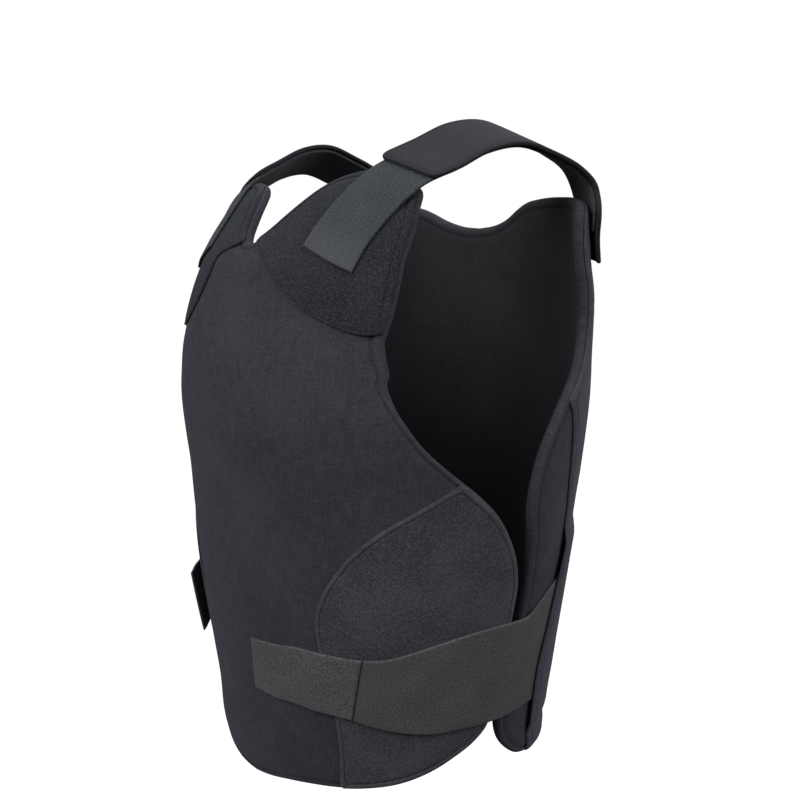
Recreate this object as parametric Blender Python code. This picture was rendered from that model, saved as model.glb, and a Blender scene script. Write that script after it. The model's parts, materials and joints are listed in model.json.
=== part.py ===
"""Concealable soft-armour vest in its worn form, without the wearer.

Metres, +Z up. The wearer faces -Y and the wearer's left is +X.
The origin lies between the shoulder straps, level with the top of the shoulders.
Every fabric piece is cut as a flat pattern in (u, z) millimetres and wrapped round the torso:
u runs along the girth from the centre front or the centre back, z is the height, and a third
number is how far a face stands off the torso.
"""
import math

import bpy
import numpy as np
from mathutils import Vector
from mathutils.geometry import delaunay_2d_cdt

MM = 0.001

# torso
# z, half width, front depth, back depth, front exponent, back exponent
TORSO_ROWS = (
    (-25.0, 148.5, 53.0, 68.0, 1.89, 3.2),
    (-45.0, 144.5, 75.8, 81.0, 1.96, 3.1),
    (-65.0, 142.0, 93.4, 90.0, 2.04, 3.0),
    (-85.0, 142.3, 108.0, 98.0, 2.13, 2.8),
    (-105.0, 145.8, 115.0, 104.5, 2.24, 2.6),
    (-130.0, 146.9, 122.9, 110.5, 2.31, 2.4),
    (-170.0, 146.5, 129.4, 113.7, 2.33, 2.3),
    (-230.0, 142.0, 126.0, 109.1, 2.32, 2.25),
    (-300.0, 136.4, 122.0, 101.9, 2.31, 2.1),
    (-360.0, 129.5, 116.2, 93.8, 2.30, 2.08),
    (-400.0, 125.1, 110.7, 89.0, 2.29, 2.1),
    (-415.0, 123.6, 109.2, 91.0, 2.29, 2.18),
    (-445.0, 120.5, 106.0, 89.5, 2.28, 2.25),
)
TORSO_CENTRE_Y = 8.0
RING_STEPS = 96

# cloth
PANEL_THICK = 8.8
FRONT_SAG = 0.16
FRONT_SAG_REACH = 140.0
FRONT_SAG_FROM = -300.0
FRONT_SAG_RUN = 110.0
# distance from the panel's edge, inner face, outer face
PANEL_EDGE = (
    (0.0, 1.4, 6.4),
    (2.5, 0.3, 8.0),
    (8.5, 0.0, PANEL_THICK),
)
LOOP_THICK = 1.2
COVER_THICK = 1.3
ELASTIC_THICK = 2.0
TAB_THICK = 1.8
PAD_THICK = 3.0
LAYER_GAP = 0.45
PATCH_INSET = 2.5
RING_INSET = 8.5
LATTICE = 18.0
EDGE_STEP = 13.0
EDGE_TURN = math.radians(24.0)

# patterns, wearer's left half
FRONT_OUTLINE = (
    (0.0, -76.0), (5.0, -75.2), (9.6, -72.6), (16.2, -67.0), (21.8, -60.0), (29.5, -51.0),
    (37.5, -43.0), (47.3, -37.4), (59.2, -34.2), (69.6, -33.2), (80.0, -33.8), (95.0, -37.8),
    (106.0, -41.8), (112.5, -46.5), (116.0, -53.0), (119.5, -63.0), (122.2, -74.8), (123.8, -87.4),
    (124.6, -98.8), (125.2, -115.0), (125.2, -129.0), (126.2, -138.0), (127.9, -147.2),
    (130.2, -154.5), (134.0, -161.5), (142.1, -174.3), (152.4, -189.4), (164.0, -203.3),
    (179.4, -218.9), (192.2, -234.5), (201.7, -253.0), (206.5, -269.3), (207.0, -285.5),
    (203.2, -302.5), (198.5, -320.0), (191.5, -341.0), (184.0, -362.0), (176.4, -382.5),
    (166.9, -391.0), (151.9, -399.8), (137.7, -407.4), (117.9, -415.2), (97.0, -420.2),
    (83.2, -423.0), (59.9, -427.4), (38.4, -432.2), (19.0, -436.6), (0.0, -439.6),
)
BACK_OUTLINE = (
    (0.0, -62.0), (20.0, -60.0), (37.0, -55.0), (49.0, -49.5), (60.0, -45.5), (77.0, -43.4),
    (100.0, -43.2), (122.0, -45.0), (135.0, -49.0), (142.5, -56.5), (146.0, -69.0), (147.0, -84.0),
    (147.5, -100.0), (149.5, -117.0), (153.5, -132.0), (160.5, -146.0), (170.0, -158.0),
    (181.0, -170.0), (190.5, -185.6), (196.5, -201.0), (198.5, -220.0), (197.0, -240.0),
    (192.1, -257.0), (188.6, -277.0), (186.8, -296.0), (185.5, -315.0), (183.6, -340.0),
    (183.4, -364.0), (182.7, -380.0), (178.6, -394.5), (170.4, -407.0), (161.2, -414.5),
    (151.0, -417.9), (136.2, -419.9), (105.0, -423.0), (68.0, -427.5), (30.0, -431.0), (0.0, -432.0),
)
SHOULDER_SEAM = (
    (11.0, -77.5), (20.1, -83.3), (37.2, -94.2), (50.7, -103.1), (71.1, -114.6), (94.8, -123.0),
    (106.6, -126.1), (116.0, -126.8), (122.7, -125.4),
)
SIDE_SEAM = (
    (168.5, -212.3), (155.7, -219.0), (144.0, -226.0), (133.0, -232.6), (121.7, -240.3),
    (110.0, -250.0), (100.7, -260.1), (92.1, -272.0), (84.9, -283.7), (80.2, -295.8),
    (78.4, -308.3), (79.3, -322.0), (82.0, -345.0), (83.8, -371.0), (83.6, -394.0), (83.0, -420.4),
)
# edge of the back cover from the armhole down to the hem
COVER_SEAM = (
    (178.6, -172.0), (172.5, -188.0), (168.0, -205.0), (163.5, -225.0), (158.7, -245.0),
    (156.6, -267.0), (158.0, -289.0), (159.4, -305.0), (159.9, -325.0), (160.4, -345.0),
    (158.9, -362.0), (154.9, -380.0), (151.9, -398.0), (149.4, -415.2),
)
# where the cover rises over a strap's rear end: least u, least z, greatest z, and the slope's run
LIFT_BOX = (92.0, -406.0, -254.0)
LIFT_RAMP = 16.0
LIFT = 3.1

# side straps
# upper edge: girth from the centre front, height; the same for the lower edge; stand-off of both
SIDE_STRAP = (
    (106.2, -323.1, 95.7, -365.8, 10.8, 10.8),
    (118.0, -322.0, 109.0, -369.8, 10.8, 10.8),
    (131.0, -318.2, 124.0, -373.4, 10.8, 10.8),
    (144.0, -314.0, 138.0, -375.3, 10.8, 10.8),
    (167.0, -308.9, 156.0, -375.4, 10.8, 10.8),
    (188.0, -307.6, 174.0, -376.0, 10.8, 10.8),
    (201.0, -308.2, 187.0, -376.0, 10.7, 10.7),
    (213.0, -308.0, 199.0, -375.6, 10.0, 10.0),
    (223.0, -302.5, 208.0, -375.4, 9.4, 9.4),
    (235.0, -296.2, 219.0, -375.6, 9.3, 9.3),
    (252.0, -291.0, 234.0, -376.4, 9.3, 9.3),
    (270.0, -288.0, 247.0, -377.0, 9.3, 9.3),
)
SIDE_TAB = (
    (22.6, -329.3, 19.6, -366.4, 9.4, 9.4),
    (45.0, -326.4, 41.0, -366.0, 9.4, 9.4),
    (66.0, -322.9, 60.5, -364.4, 9.4, 9.4),
    (77.5, -322.2, 71.0, -364.0, 10.8, 10.8),
    (90.0, -322.6, 81.0, -364.4, 10.8, 10.8),
    (105.8, -323.1, 95.3, -365.7, 10.8, 10.8),
)
# the wearer's right strap is fastened farther back and the end of its tab stands off
RIGHT_STRAP = (
    (160.4, -313.0, 152.4, -360.0, 10.8, 10.8),
    (167.0, -311.6, 158.0, -363.0, 10.8, 10.8),
    (176.0, -309.6, 165.5, -369.0, 10.8, 10.8),
    (188.0, -307.9, 175.5, -374.6, 10.8, 10.8),
) + SIDE_STRAP[6:]
RIGHT_TAB = (
    (77.6, -317.5, 81.5, -367.5, 17.0, 15.5),
    (84.0, -314.2, 86.5, -365.0, 14.0, 13.0),
    (93.0, -313.2, 93.0, -362.0, 11.4, 11.2),
    (108.0, -313.4, 106.0, -359.4, 10.8, 10.8),
    (132.0, -313.4, 127.0, -359.2, 10.8, 10.8),
    (160.0, -313.0, 152.0, -360.0, 10.8, 10.8),
)
STRIP_STEP = 11.0
STRIP_COLUMNS = 3

# shoulder straps
# where the elastic lies on the chest: inner edge u, z; outer edge u, z
CHEST_STATIONS = (
    (59.5, -80.6, 97.5, -94.2),
    (61.0, -66.0, 100.3, -79.5),
    (64.8, -51.4, 104.4, -64.2),
    (72.5, -37.0, 113.0, -47.5),
)
CHEST_STAND_OFF = 10.9
# over the shoulder: middle of the underside x, y, z, and the roll and yaw of the width
SHOULDER_ARC = (
    (100.0, -26.0, -23.2, 0.38, -0.08),
    (102.7, -3.4, -11.6, 0.43, 0.0),
    (105.9, 20.0, -7.6, 0.40, 0.04),
    (109.5, 44.0, -13.2, 0.36, 0.10),
    (113.5, 65.0, -20.6, 0.36, 0.20),
    (116.0, 79.5, -29.8, 0.34, 0.35),
)
# on the back: inner edge u, z; outer edge u, z; stand-off
BACK_STATIONS = (
    (101.5, -50.0, 140.0, -53.0, 13.0),
    (98.5, -67.0, 137.2, -69.5, 11.6),
    (96.5, -85.0, 135.5, -87.0, 11.4),
)
ELASTIC_WIDTH = 39.6
PAD_WIDTH = 46.0
PAD_CORNER = 9.0
PAD_GAP = 0.8
# stations along the whole strap, the last one under the elastic, the pad's first full-width one
SHOULDER_ROWS = 24
ELASTIC_LAST_ROW = 22
PAD_FIRST_ROW = 7
SHOULDER_STEP = 9.7

# node, material, colour, roughness
MATERIALS = {
    "panel": ("carrier_cloth", (0.036, 0.037, 0.042), 0.92),
    "loop": ("loop_cloth", (0.022, 0.022, 0.026), 0.98),
    "elastic": ("ribbed_elastic", (0.066, 0.073, 0.080), 0.85),
    "pad": ("pad_cloth", (0.052, 0.054, 0.058), 0.80),
    "tab": ("hook_tab", (0.076, 0.078, 0.080), 0.90),
    "cover": ("cover_cloth", (0.033, 0.034, 0.038), 0.92),
}


def hermite(xs, ys, x):
    """Smooth curve through the rows of a table, for ascending xs."""
    xs = np.asarray(xs, float)
    ys = np.asarray(ys, float)
    x = np.clip(np.asarray(x, float), xs[0], xs[-1])
    slopes = np.gradient(ys, xs, axis=0)
    i = np.clip(np.searchsorted(xs, x, side="right") - 1, 0, len(xs) - 2)
    width = xs[i + 1] - xs[i]
    t = (x - xs[i]) / width
    if ys.ndim > 1:
        t = t[..., None]
        width = width[..., None]
    a = 2 * t**3 - 3 * t**2 + 1
    b = t**3 - 2 * t**2 + t
    c = -2 * t**3 + 3 * t**2
    d = t**3 - t**2
    return a * ys[i] + b * width * slopes[i] + c * ys[i + 1] + d * width * slopes[i + 1]


class Torso:
    """The body the vest is worn on, as rings of super-ellipse halves."""

    def __init__(self, rows):
        table = np.array(rows)[::-1]
        self.z = table[:, 0]
        self.values = table[:, 1:]

    def ring(self, z):
        """Half rings from the centre front to the centre back at heights z."""
        half, front, back, front_exp, back_exp = hermite(self.z, self.values, z).T
        angle = np.linspace(0.0, math.pi, 2 * RING_STEPS + 1)
        ahead = np.cos(angle) > 0
        power = np.where(ahead, 2 / front_exp[:, None], 2 / back_exp[:, None])
        depth = np.where(ahead, front[:, None], back[:, None])
        x = half[:, None] * np.abs(np.sin(angle)) ** power
        y = TORSO_CENTRE_Y - depth * np.sign(np.cos(angle)) * np.abs(np.cos(angle)) ** power
        x[:, 0] = 0.0
        x[:, -1] = 0.0
        step = np.hypot(np.diff(x, axis=1), np.diff(y, axis=1))
        girth = np.concatenate([np.zeros((len(x), 1)), np.cumsum(step, axis=1)], axis=1)
        return x, y, girth

    def skin(self, girth, z):
        """Points on the torso, girth measured from the centre front."""
        x, y, total = self.ring(z)
        whole = total[:, -1]
        side = np.where(girth < 0, -1.0, 1.0) * np.where(np.abs(girth) > whole, -1.0, 1.0)
        within = np.where(np.abs(girth) > whole, 2 * whole - np.abs(girth), np.abs(girth))
        out = np.empty((len(z), 3))
        for k, g in enumerate(within):
            out[k] = (np.interp(g, total[k], x[k]), np.interp(g, total[k], y[k]), z[k])
        out[:, 0] *= side
        return out

    def place(self, girth, z, stand_off):
        """Points held off the torso along its outward normal."""
        girth = np.asarray(girth, float)
        z = np.asarray(z, float)
        stand_off = np.broadcast_to(np.asarray(stand_off, float), z.shape)
        reach = 1.5
        along = self.skin(girth + reach, z) - self.skin(girth - reach, z)
        low = self.skin(girth, z - reach)
        high = self.skin(girth, z + reach)
        normal = np.cross(along, high - low)
        normal /= np.linalg.norm(normal, axis=1)[:, None]
        return self.skin(girth, z) + normal * stand_off[:, None]

    def half_girth(self, z):
        return self.ring(np.atleast_1d(np.asarray(z, float)))[2][:, -1]


TORSO = Torso(TORSO_ROWS)


def place_front(u, z, stand_off):
    return TORSO.place(u, z, stand_off)


def place_front_panel(u, z, stand_off):
    """The front panel hangs a little lower on the wearer's right."""
    u = np.asarray(u, float)
    z = np.asarray(z, float)
    low = np.clip((FRONT_SAG_FROM - z) / FRONT_SAG_RUN, 0.0, 1.0)
    return TORSO.place(u, z + FRONT_SAG * np.clip(u, -FRONT_SAG_REACH, 0.0) * low, stand_off)


def place_right_patch(u, z, stand_off):
    """The same for a patch that is cut for the left and turned over."""
    points = place_front_panel(-np.asarray(u, float), z, stand_off)
    return points * np.array([-1.0, 1.0, 1.0])


def place_back(u, z, stand_off):
    """The same for a distance u from the centre back."""
    z = np.asarray(z, float)
    return TORSO.place(TORSO.half_girth(z) - np.asarray(u, float), z, stand_off)


def curve(points, step=1.0):
    """Evenly sampled smooth curve through pattern points."""
    points = np.array(points, float)
    run = np.concatenate([[0.0], np.cumsum(np.linalg.norm(np.diff(points, axis=0), axis=1))])
    count = max(2, int(round(run[-1] / step)) + 1)
    return hermite(run, points, np.linspace(0.0, run[-1], count))


def thinned(points, step=EDGE_STEP, turn=EDGE_TURN):
    """Fewer points: one for each step of length or of turning."""
    keep = [0]
    length = 0.0
    bend = 0.0
    for i in range(1, len(points) - 1):
        back = points[i] - points[i - 1]
        ahead = points[i + 1] - points[i]
        length += np.linalg.norm(back)
        bend += abs(math.atan2(back[0] * ahead[1] - back[1] * ahead[0], float(back @ ahead)))
        if length >= step or bend >= turn:
            keep.append(i)
            length = 0.0
            bend = 0.0
    if len(keep) > 1 and np.linalg.norm(points[-1] - points[keep[-1]]) < 0.4 * step:
        keep.pop()
    keep.append(len(points) - 1)
    return points[keep]


def distance_to(points, line):
    """Distance of each point to a polyline."""
    a = line[:-1]
    ab = line[1:] - a
    rel = points[:, None, :] - a[None]
    size = np.maximum((ab * ab).sum(1), 1e-12)
    t = np.clip((rel * ab[None]).sum(2) / size[None], 0.0, 1.0)
    return np.linalg.norm(rel - t[..., None] * ab[None], axis=2).min(1)


def inside(points, loop):
    """Which points lie inside a closed polygon."""
    x, y = points[:, 0][:, None], points[:, 1][:, None]
    ax, ay = loop[:, 0][None], loop[:, 1][None]
    bx, by = np.roll(loop[:, 0], -1)[None], np.roll(loop[:, 1], -1)[None]
    rise = np.where(by == ay, 1e-12, by - ay)
    crosses = ((ay > y) != (by > y)) & (x < (bx - ax) * (y - ay) / rise + ax)
    return crosses.sum(1) % 2 == 1


def inset(line, amount):
    """The outline moved inwards; the body of the pattern lies on its right."""
    tangent = np.gradient(line, axis=0)
    tangent /= np.linalg.norm(tangent, axis=1)[:, None]
    inward = np.stack([tangent[:, 1], -tangent[:, 0]], axis=1)
    return line + inward * amount


def lattice_points():
    """Common grid of pattern points, so that stacked layers share their facets."""
    rows = []
    row_height = LATTICE * math.sqrt(3) / 2
    for r in range(int(440 / row_height) + 1):
        z = -10.0 - r * row_height
        shift = 0.5 * LATTICE if r % 2 else 0.0
        for c in range(int(240 / LATTICE) + 1):
            rows.append((shift + c * LATTICE, z))
    return np.array(rows)


LATTICE_POINTS = lattice_points()


def far_from(points, others, reach):
    """The points that are at least reach from every one of the others."""
    if len(points) == 0 or len(others) == 0:
        return points
    gap = np.linalg.norm(points[:, None] - others[None], axis=2).min(1)
    return points[gap >= reach]


def triangulate(loop, free, lines):
    """Triangles inside a closed loop, through the free points and along the inner lines."""
    flat = np.vstack([loop, free])
    verts = [Vector(p) for p in flat]
    edges = []
    for line in lines:
        at = [int(np.linalg.norm(flat - p, axis=1).argmin()) for p in line]
        edges += [(a, b) for a, b in zip(at[:-1], at[1:])]
    face = list(range(len(loop)))
    coords, _, faces, origins, _, _ = delaunay_2d_cdt(verts, edges, [face], 1, 1e-6)
    if len(coords) != len(verts):
        raise ValueError("a pattern outline crosses itself")
    order = np.array([source[0] for source in origins])
    triangles = []
    for a, b, c in faces:
        tri = [order[a], order[b], order[c]]
        p, q, r = (np.array(verts[i]) for i in tri)
        area = (q[0] - p[0]) * (r[1] - p[1]) - (q[1] - p[1]) * (r[0] - p[0])
        triangles.append(tri if area > 0 else [tri[0], tri[2], tri[1]])
    return np.array([tuple(v) for v in verts]), np.array(triangles)


class Piece:
    """Collects the points and faces of one closed piece of fabric."""

    def __init__(self):
        self.points = []
        self.faces = []

    def sheet(self, loop, free, place, inner, outer, lines=()):
        """A piece cut to a closed pattern loop, between two stand-offs given for each point."""
        ahead = np.roll(loop, -1, axis=0)
        if (loop[:, 0] * ahead[:, 1] - loop[:, 1] * ahead[:, 0]).sum() < 0:
            loop = loop[::-1]
        flat, triangles = triangulate(loop, free, lines)
        count = len(flat)
        self.points = np.vstack([place(flat[:, 0], flat[:, 1], outer(flat)),
                                 place(flat[:, 0], flat[:, 1], inner(flat))])
        self.faces = [tuple(t) for t in triangles]
        self.faces += [(t[0] + count, t[2] + count, t[1] + count) for t in triangles]
        edge = len(loop)
        for i in range(edge):
            j = (i + 1) % edge
            self.faces.append((i, i + count, j + count, j))
        return self

    def band(self, top, low):
        """A flat band from two grids of points: rows along it, columns across it."""
        rows, wide = top.shape[:2]
        count = rows * wide
        self.points = np.vstack([top.reshape(-1, 3), low.reshape(-1, 3)])
        faces = []
        for k in range(rows - 1):
            for c in range(wide - 1):
                a = k * wide + c
                b = a + wide
                for tri in ((a, a + 1, b), (a + 1, b + 1, b)):
                    faces.append(tri)
                    faces.append(tuple(i + count for i in reversed(tri)))
            for a, b in ((k * wide, (k + 1) * wide), ((k + 2) * wide - 1, (k + 1) * wide - 1)):
                faces.append((a, b, b + count, a + count))
        for c in range(wide - 1):
            faces.append((c + 1, c, c + count, c + 1 + count))
            a = (rows - 1) * wide + c
            faces.append((a, a + 1, a + 1 + count, a + count))
        self.faces = faces
        return self

    def build(self, name, kind, mirror=False):
        """Makes the object, turned so that its faces look outwards."""
        points = np.array(self.points) * MM
        faces = [tuple(int(i) for i in f) for f in self.faces]
        if mirror:
            points = points * np.array([-1.0, 1.0, 1.0])
        if signed_volume(points, faces) < 0:
            faces = [tuple(reversed(f)) for f in faces]
        mesh = bpy.data.meshes.new(name)
        mesh.from_pydata([tuple(p) for p in points], [], faces)
        mesh.validate()
        mesh.update()
        obj = bpy.data.objects.new(name, mesh)
        bpy.context.scene.collection.objects.link(obj)
        obj.data.materials.append(material(name, kind))
        return obj


def signed_volume(points, faces):
    total = 0.0
    for face in faces:
        for i in range(1, len(face) - 1):
            a, b, c = points[face[0]], points[face[i]], points[face[i + 1]]
            total += float(np.dot(a, np.cross(b, c)))
    return total / 6.0


def material(name, kind):
    label, colour, roughness = MATERIALS[kind]
    mat = bpy.data.materials.new(name + "_" + label)
    mat.use_nodes = True
    shader = mat.node_tree.nodes["Principled BSDF"]
    shader.inputs["Base Color"].default_value = (*colour, 1.0)
    shader.inputs["Roughness"].default_value = roughness
    return mat


def panel_profile(distance, column):
    table = np.array(PANEL_EDGE)
    return np.interp(distance, table[:, 0], table[:, column])


def mirrored_loop(half):
    """A closed loop from a half outline that starts and ends on the centre line."""
    other = half[1:-1][::-1] * np.array([-1.0, 1.0])
    return np.vstack([half, other])


def both_sides(points):
    off_centre = points[points[:, 0] > 0.5]
    return np.vstack([points, off_centre * np.array([-1.0, 1.0])])


def snapped(line, ring):
    """A seam line whose two ends are moved to the nearest points of the panel's rim."""
    line = line.copy()
    for end in (0, -1):
        line[end] = ring[np.linalg.norm(ring - line[end], axis=1).argmin()]
    return line


def panel_points(outline, seams):
    """Outline, rim line, seam lines and free points of one half panel."""
    dense = curve(outline)
    edge = thinned(dense)
    edge[0, 0] = 0.0
    edge[-1, 0] = 0.0
    rings = []
    for amount in (PATCH_INSET, RING_INSET):
        ring = inset(dense, amount)
        ring = ring[(distance_to(ring, dense) > 0.985 * amount) & (ring[:, 0] > 4.0)]
        ring = thinned(ring, EDGE_STEP, 2 * EDGE_TURN)
        top = np.array([[0.0, dense[0, 1] - amount]])
        foot = np.array([[0.0, dense[-1, 1] + amount]])
        rings.append(np.vstack([top, ring, foot]))
    lines = [snapped(thinned(curve(seam)), rings[0]) for seam in seams]
    along = np.vstack([line[1:-1] for line in lines])
    loop = np.vstack([dense, [[0.0, dense[-1, 1]], [0.0, dense[0, 1]]]])
    grid = LATTICE_POINTS[inside(LATTICE_POINTS + np.array([0.01, 0.0]), loop)]
    grid = grid[distance_to(grid, dense) > RING_INSET + 5.0]
    loose = np.vstack([rings[1], grid])
    for line in lines:
        loose = loose[distance_to(loose, line) > 6.0]
    return dense, edge, rings[0], lines, np.vstack([rings[0], along, loose])


def make_panel(name, outline, place, seams):
    """A padded panel, thinner and rounded along its edge."""
    dense, edge, rim, lines, free = panel_points(outline, seams)
    whole = np.vstack([dense, dense[::-1] * np.array([-1.0, 1.0])])
    flip = np.array([-1.0, 1.0])
    inner_lines = [rim, rim * flip] + lines + [line * flip for line in lines]

    def inner(flat):
        return panel_profile(distance_to(flat, whole), 1)

    def outer(flat):
        return panel_profile(distance_to(flat, whole), 2)

    piece = Piece().sheet(mirrored_loop(edge), both_sides(free), place, inner, outer, inner_lines)
    piece.build(name, "panel")
    return dense, rim, lines, free


def between(ring, start, end):
    """The part of a ring from the point nearest start to the one nearest end."""
    a = np.linalg.norm(ring - start, axis=1).argmin()
    b = np.linalg.norm(ring - end, axis=1).argmin()
    return ring[min(a, b):max(a, b) + 1]


def make_patch(name, line, dense, free, rim, mirror):
    """A cloth patch on a padded panel, from a seam to the panel's edge."""
    part = between(rim, line[0], line[-1])[1:-1]
    loop = np.vstack([part, line[::-1]]) if nearer_start(part, line) else np.vstack([part, line])
    within = far_from(free[inside(free, loop)], loop, 0.5)

    def inner(flat):
        return panel_profile(distance_to(flat, dense), 2) + LAYER_GAP

    def outer(flat):
        return inner(flat) + LOOP_THICK

    place = place_right_patch if mirror else place_front_panel
    Piece().sheet(loop, within, place, inner, outer).build(name, "loop", mirror)


def nearer_start(part, line):
    return np.linalg.norm(part[0] - line[0]) < np.linalg.norm(part[0] - line[-1])


def cover_lift(flat):
    """How far the cover rises over the strap ends beneath it."""
    ahead = (np.abs(flat[:, 0]) - LIFT_BOX[0]) / LIFT_RAMP
    low = (flat[:, 1] - LIFT_BOX[1]) / LIFT_RAMP
    high = (LIFT_BOX[2] - flat[:, 1]) / LIFT_RAMP
    share = np.clip(np.minimum(ahead, np.minimum(low, high)), 0.0, 1.0)
    return LIFT * share * share * (3 - 2 * share)


def make_cover(dense, free, rim, line):
    """The outer cloth of the back, over the rear ends of the side straps."""
    top = rim[:np.linalg.norm(rim - line[0], axis=1).argmin()]
    low = rim[np.linalg.norm(rim - line[-1], axis=1).argmin() + 1:]
    half = np.vstack([top, line, low])
    loop = mirrored_loop(half)
    within = far_from(free[inside(free + np.array([0.01, 0.0]), loop)], half, 0.5)
    whole = np.vstack([dense, dense[::-1] * np.array([-1.0, 1.0])])

    def inner(flat):
        return panel_profile(distance_to(flat, whole), 2) + LAYER_GAP + cover_lift(flat)

    def outer(flat):
        return inner(flat) + COVER_THICK

    Piece().sheet(loop, both_sides(within), place_back, inner, outer).build("back_cover", "cover")


def make_side_strip(name, kind, rows, thick, mirror):
    """A band round the flank between an upper and a lower edge."""
    table = np.array(rows)
    run = np.concatenate([[0.0], np.cumsum(np.hypot(np.diff(table[:, 0]), np.diff(table[:, 1])))])
    count = int(run[-1] / STRIP_STEP) + 2
    table = hermite(run, table, np.linspace(0.0, run[-1], count))
    share = np.linspace(0.0, 1.0, STRIP_COLUMNS + 1)
    girth = table[:, 0:1] + (table[:, 2:3] - table[:, 0:1]) * share
    z = table[:, 1:2] + (table[:, 3:4] - table[:, 1:2]) * share
    off = table[:, 4:5] + (table[:, 5:6] - table[:, 4:5]) * share
    top = place_front(girth.ravel(), z.ravel(), off.ravel() + thick)
    low = place_front(girth.ravel(), z.ravel(), off.ravel())
    shape = (count, STRIP_COLUMNS + 1, 3)
    Piece().band(top.reshape(shape), low.reshape(shape)).build(name, kind, mirror)


def shoulder_line(share):
    """Space curve along the strap's underside, at a share of its width from the neck side."""
    points = []
    for a, b, c, d in CHEST_STATIONS:
        points.append(place_front([a + (c - a) * share], [b + (d - b) * share], CHEST_STAND_OFF)[0])
    for x, y, z, roll, yaw in SHOULDER_ARC:
        flat = math.cos(roll)
        cross = np.array([flat * math.cos(yaw), -flat * math.sin(yaw), -math.sin(roll)])
        points.append(np.array([x, y, z]) + cross * ELASTIC_WIDTH * (share - 0.5))
    for a, b, c, d, off in BACK_STATIONS:
        points.append(place_back([a + (c - a) * share], [b + (d - b) * share], off)[0])
    return np.array(points)


def shoulder_grid(shares, rows):
    """Points of the strap's underside and its normals, at station numbers and width shares."""
    lines = [shoulder_line(v) for v in (0.0, 1.0 / 3, 2.0 / 3, 1.0)]
    middle = 0.5 * (lines[1] + lines[2])
    run = np.concatenate([[0.0], np.cumsum(np.linalg.norm(np.diff(middle, axis=0), axis=1))])
    at = np.asarray(rows, float) / SHOULDER_ROWS * run[-1]
    known = np.stack([hermite(run, line, at) for line in lines], axis=1)
    known_shares = np.array([0.0, 1.0 / 3, 2.0 / 3, 1.0])
    reach = 0.5
    ahead = np.stack([hermite(run, line, at + reach) for line in lines], axis=1)
    behind = np.stack([hermite(run, line, at - reach) for line in lines], axis=1)
    along = ahead - behind
    across = np.gradient(known, axis=1)
    up = np.cross(along, across)
    up /= np.linalg.norm(up, axis=2)[..., None]
    if up[len(up) // 2, 1, 2] < 0:
        up = -up
    points = np.empty(shares.shape + (3,))
    normals = np.empty(shares.shape + (3,))
    for k in range(len(at)):
        inside_share = np.clip(shares[k], 0.0, 1.0)
        beyond = (shares[k] - inside_share)[:, None]
        edge = np.where(beyond > 0, known[k, 3] - known[k, 2], known[k, 1] - known[k, 0]) * 3
        for i in range(3):
            points[k, :, i] = np.interp(inside_share, known_shares, known[k, :, i])
            normals[k, :, i] = np.interp(inside_share, known_shares, up[k, :, i])
        points[k] += edge * beyond
    return points, normals


def make_shoulder(mirror, side):
    """The elastic over the shoulder, and the pad that covers its middle."""
    rows = np.arange(0, ELASTIC_LAST_ROW + 1)
    shares = np.tile(np.array([0.0, 1.0 / 3, 2.0 / 3, 1.0]), (len(rows), 1))
    points, up = shoulder_grid(shares, rows)
    piece = Piece().band(points + up * ELASTIC_THICK, points)
    piece.build("shoulder_strap_" + side, "elastic", mirror)
    step = PAD_CORNER / SHOULDER_STEP
    first = PAD_FIRST_ROW - np.array([step, 0.9 * step, 0.55 * step])
    rows = np.concatenate([first, np.arange(PAD_FIRST_ROW, SHOULDER_ROWS + 1)])
    reach = (rows - rows[0]) * SHOULDER_STEP
    short = np.clip(PAD_CORNER - reach, 0.0, None)
    bite = PAD_CORNER - np.sqrt(np.clip(PAD_CORNER**2 - short**2, 0.0, None))
    over = (0.5 * PAD_WIDTH - bite) / ELASTIC_WIDTH
    shares = np.stack([0.5 - over, np.full(len(rows), 1.0 / 3), np.full(len(rows), 2.0 / 3), 0.5 + over], axis=1)
    points, up = shoulder_grid(shares, rows)
    low = points + up * (ELASTIC_THICK + PAD_GAP)
    piece = Piece().band(low + up * PAD_THICK, low)
    piece.build("shoulder_pad_" + side, "pad", mirror)


def main():
    for obj in list(bpy.data.objects):
        bpy.data.objects.remove(obj, do_unlink=True)
    seams = (SHOULDER_SEAM, SIDE_SEAM)
    dense, rim, lines, free = make_panel("front_panel", FRONT_OUTLINE, place_front_panel, seams)
    for side, mirror in (("left", False), ("right", True)):
        make_patch("shoulder_patch_" + side, lines[0], dense, free, rim, mirror)
        make_patch("side_patch_" + side, lines[1], dense, free, rim, mirror)
        strap, tab = (RIGHT_STRAP, RIGHT_TAB) if mirror else (SIDE_STRAP, SIDE_TAB)
        make_side_strip("side_strap_" + side, "elastic", strap, ELASTIC_THICK, mirror)
        make_side_strip("side_tab_" + side, "tab", tab, TAB_THICK, mirror)
        make_shoulder(mirror, side)
    dense, rim, lines, free = make_panel("back_panel", BACK_OUTLINE, place_back, (COVER_SEAM,))
    make_cover(dense, free, rim, lines[0])


main()
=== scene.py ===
"""The vest's cloth, elastic, seams and stitches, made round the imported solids.

Each cloth piece is cut as a flat pattern in (u, z) millimetres and laid on the worn form:
u runs round the body from the centre front or the centre back, z is the height, and a
third number is how far a face stands off the body.
"""

import json
import math

import bpy
import numpy as np
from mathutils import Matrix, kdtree
from mathutils.geometry import delaunay_2d_cdt

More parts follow.
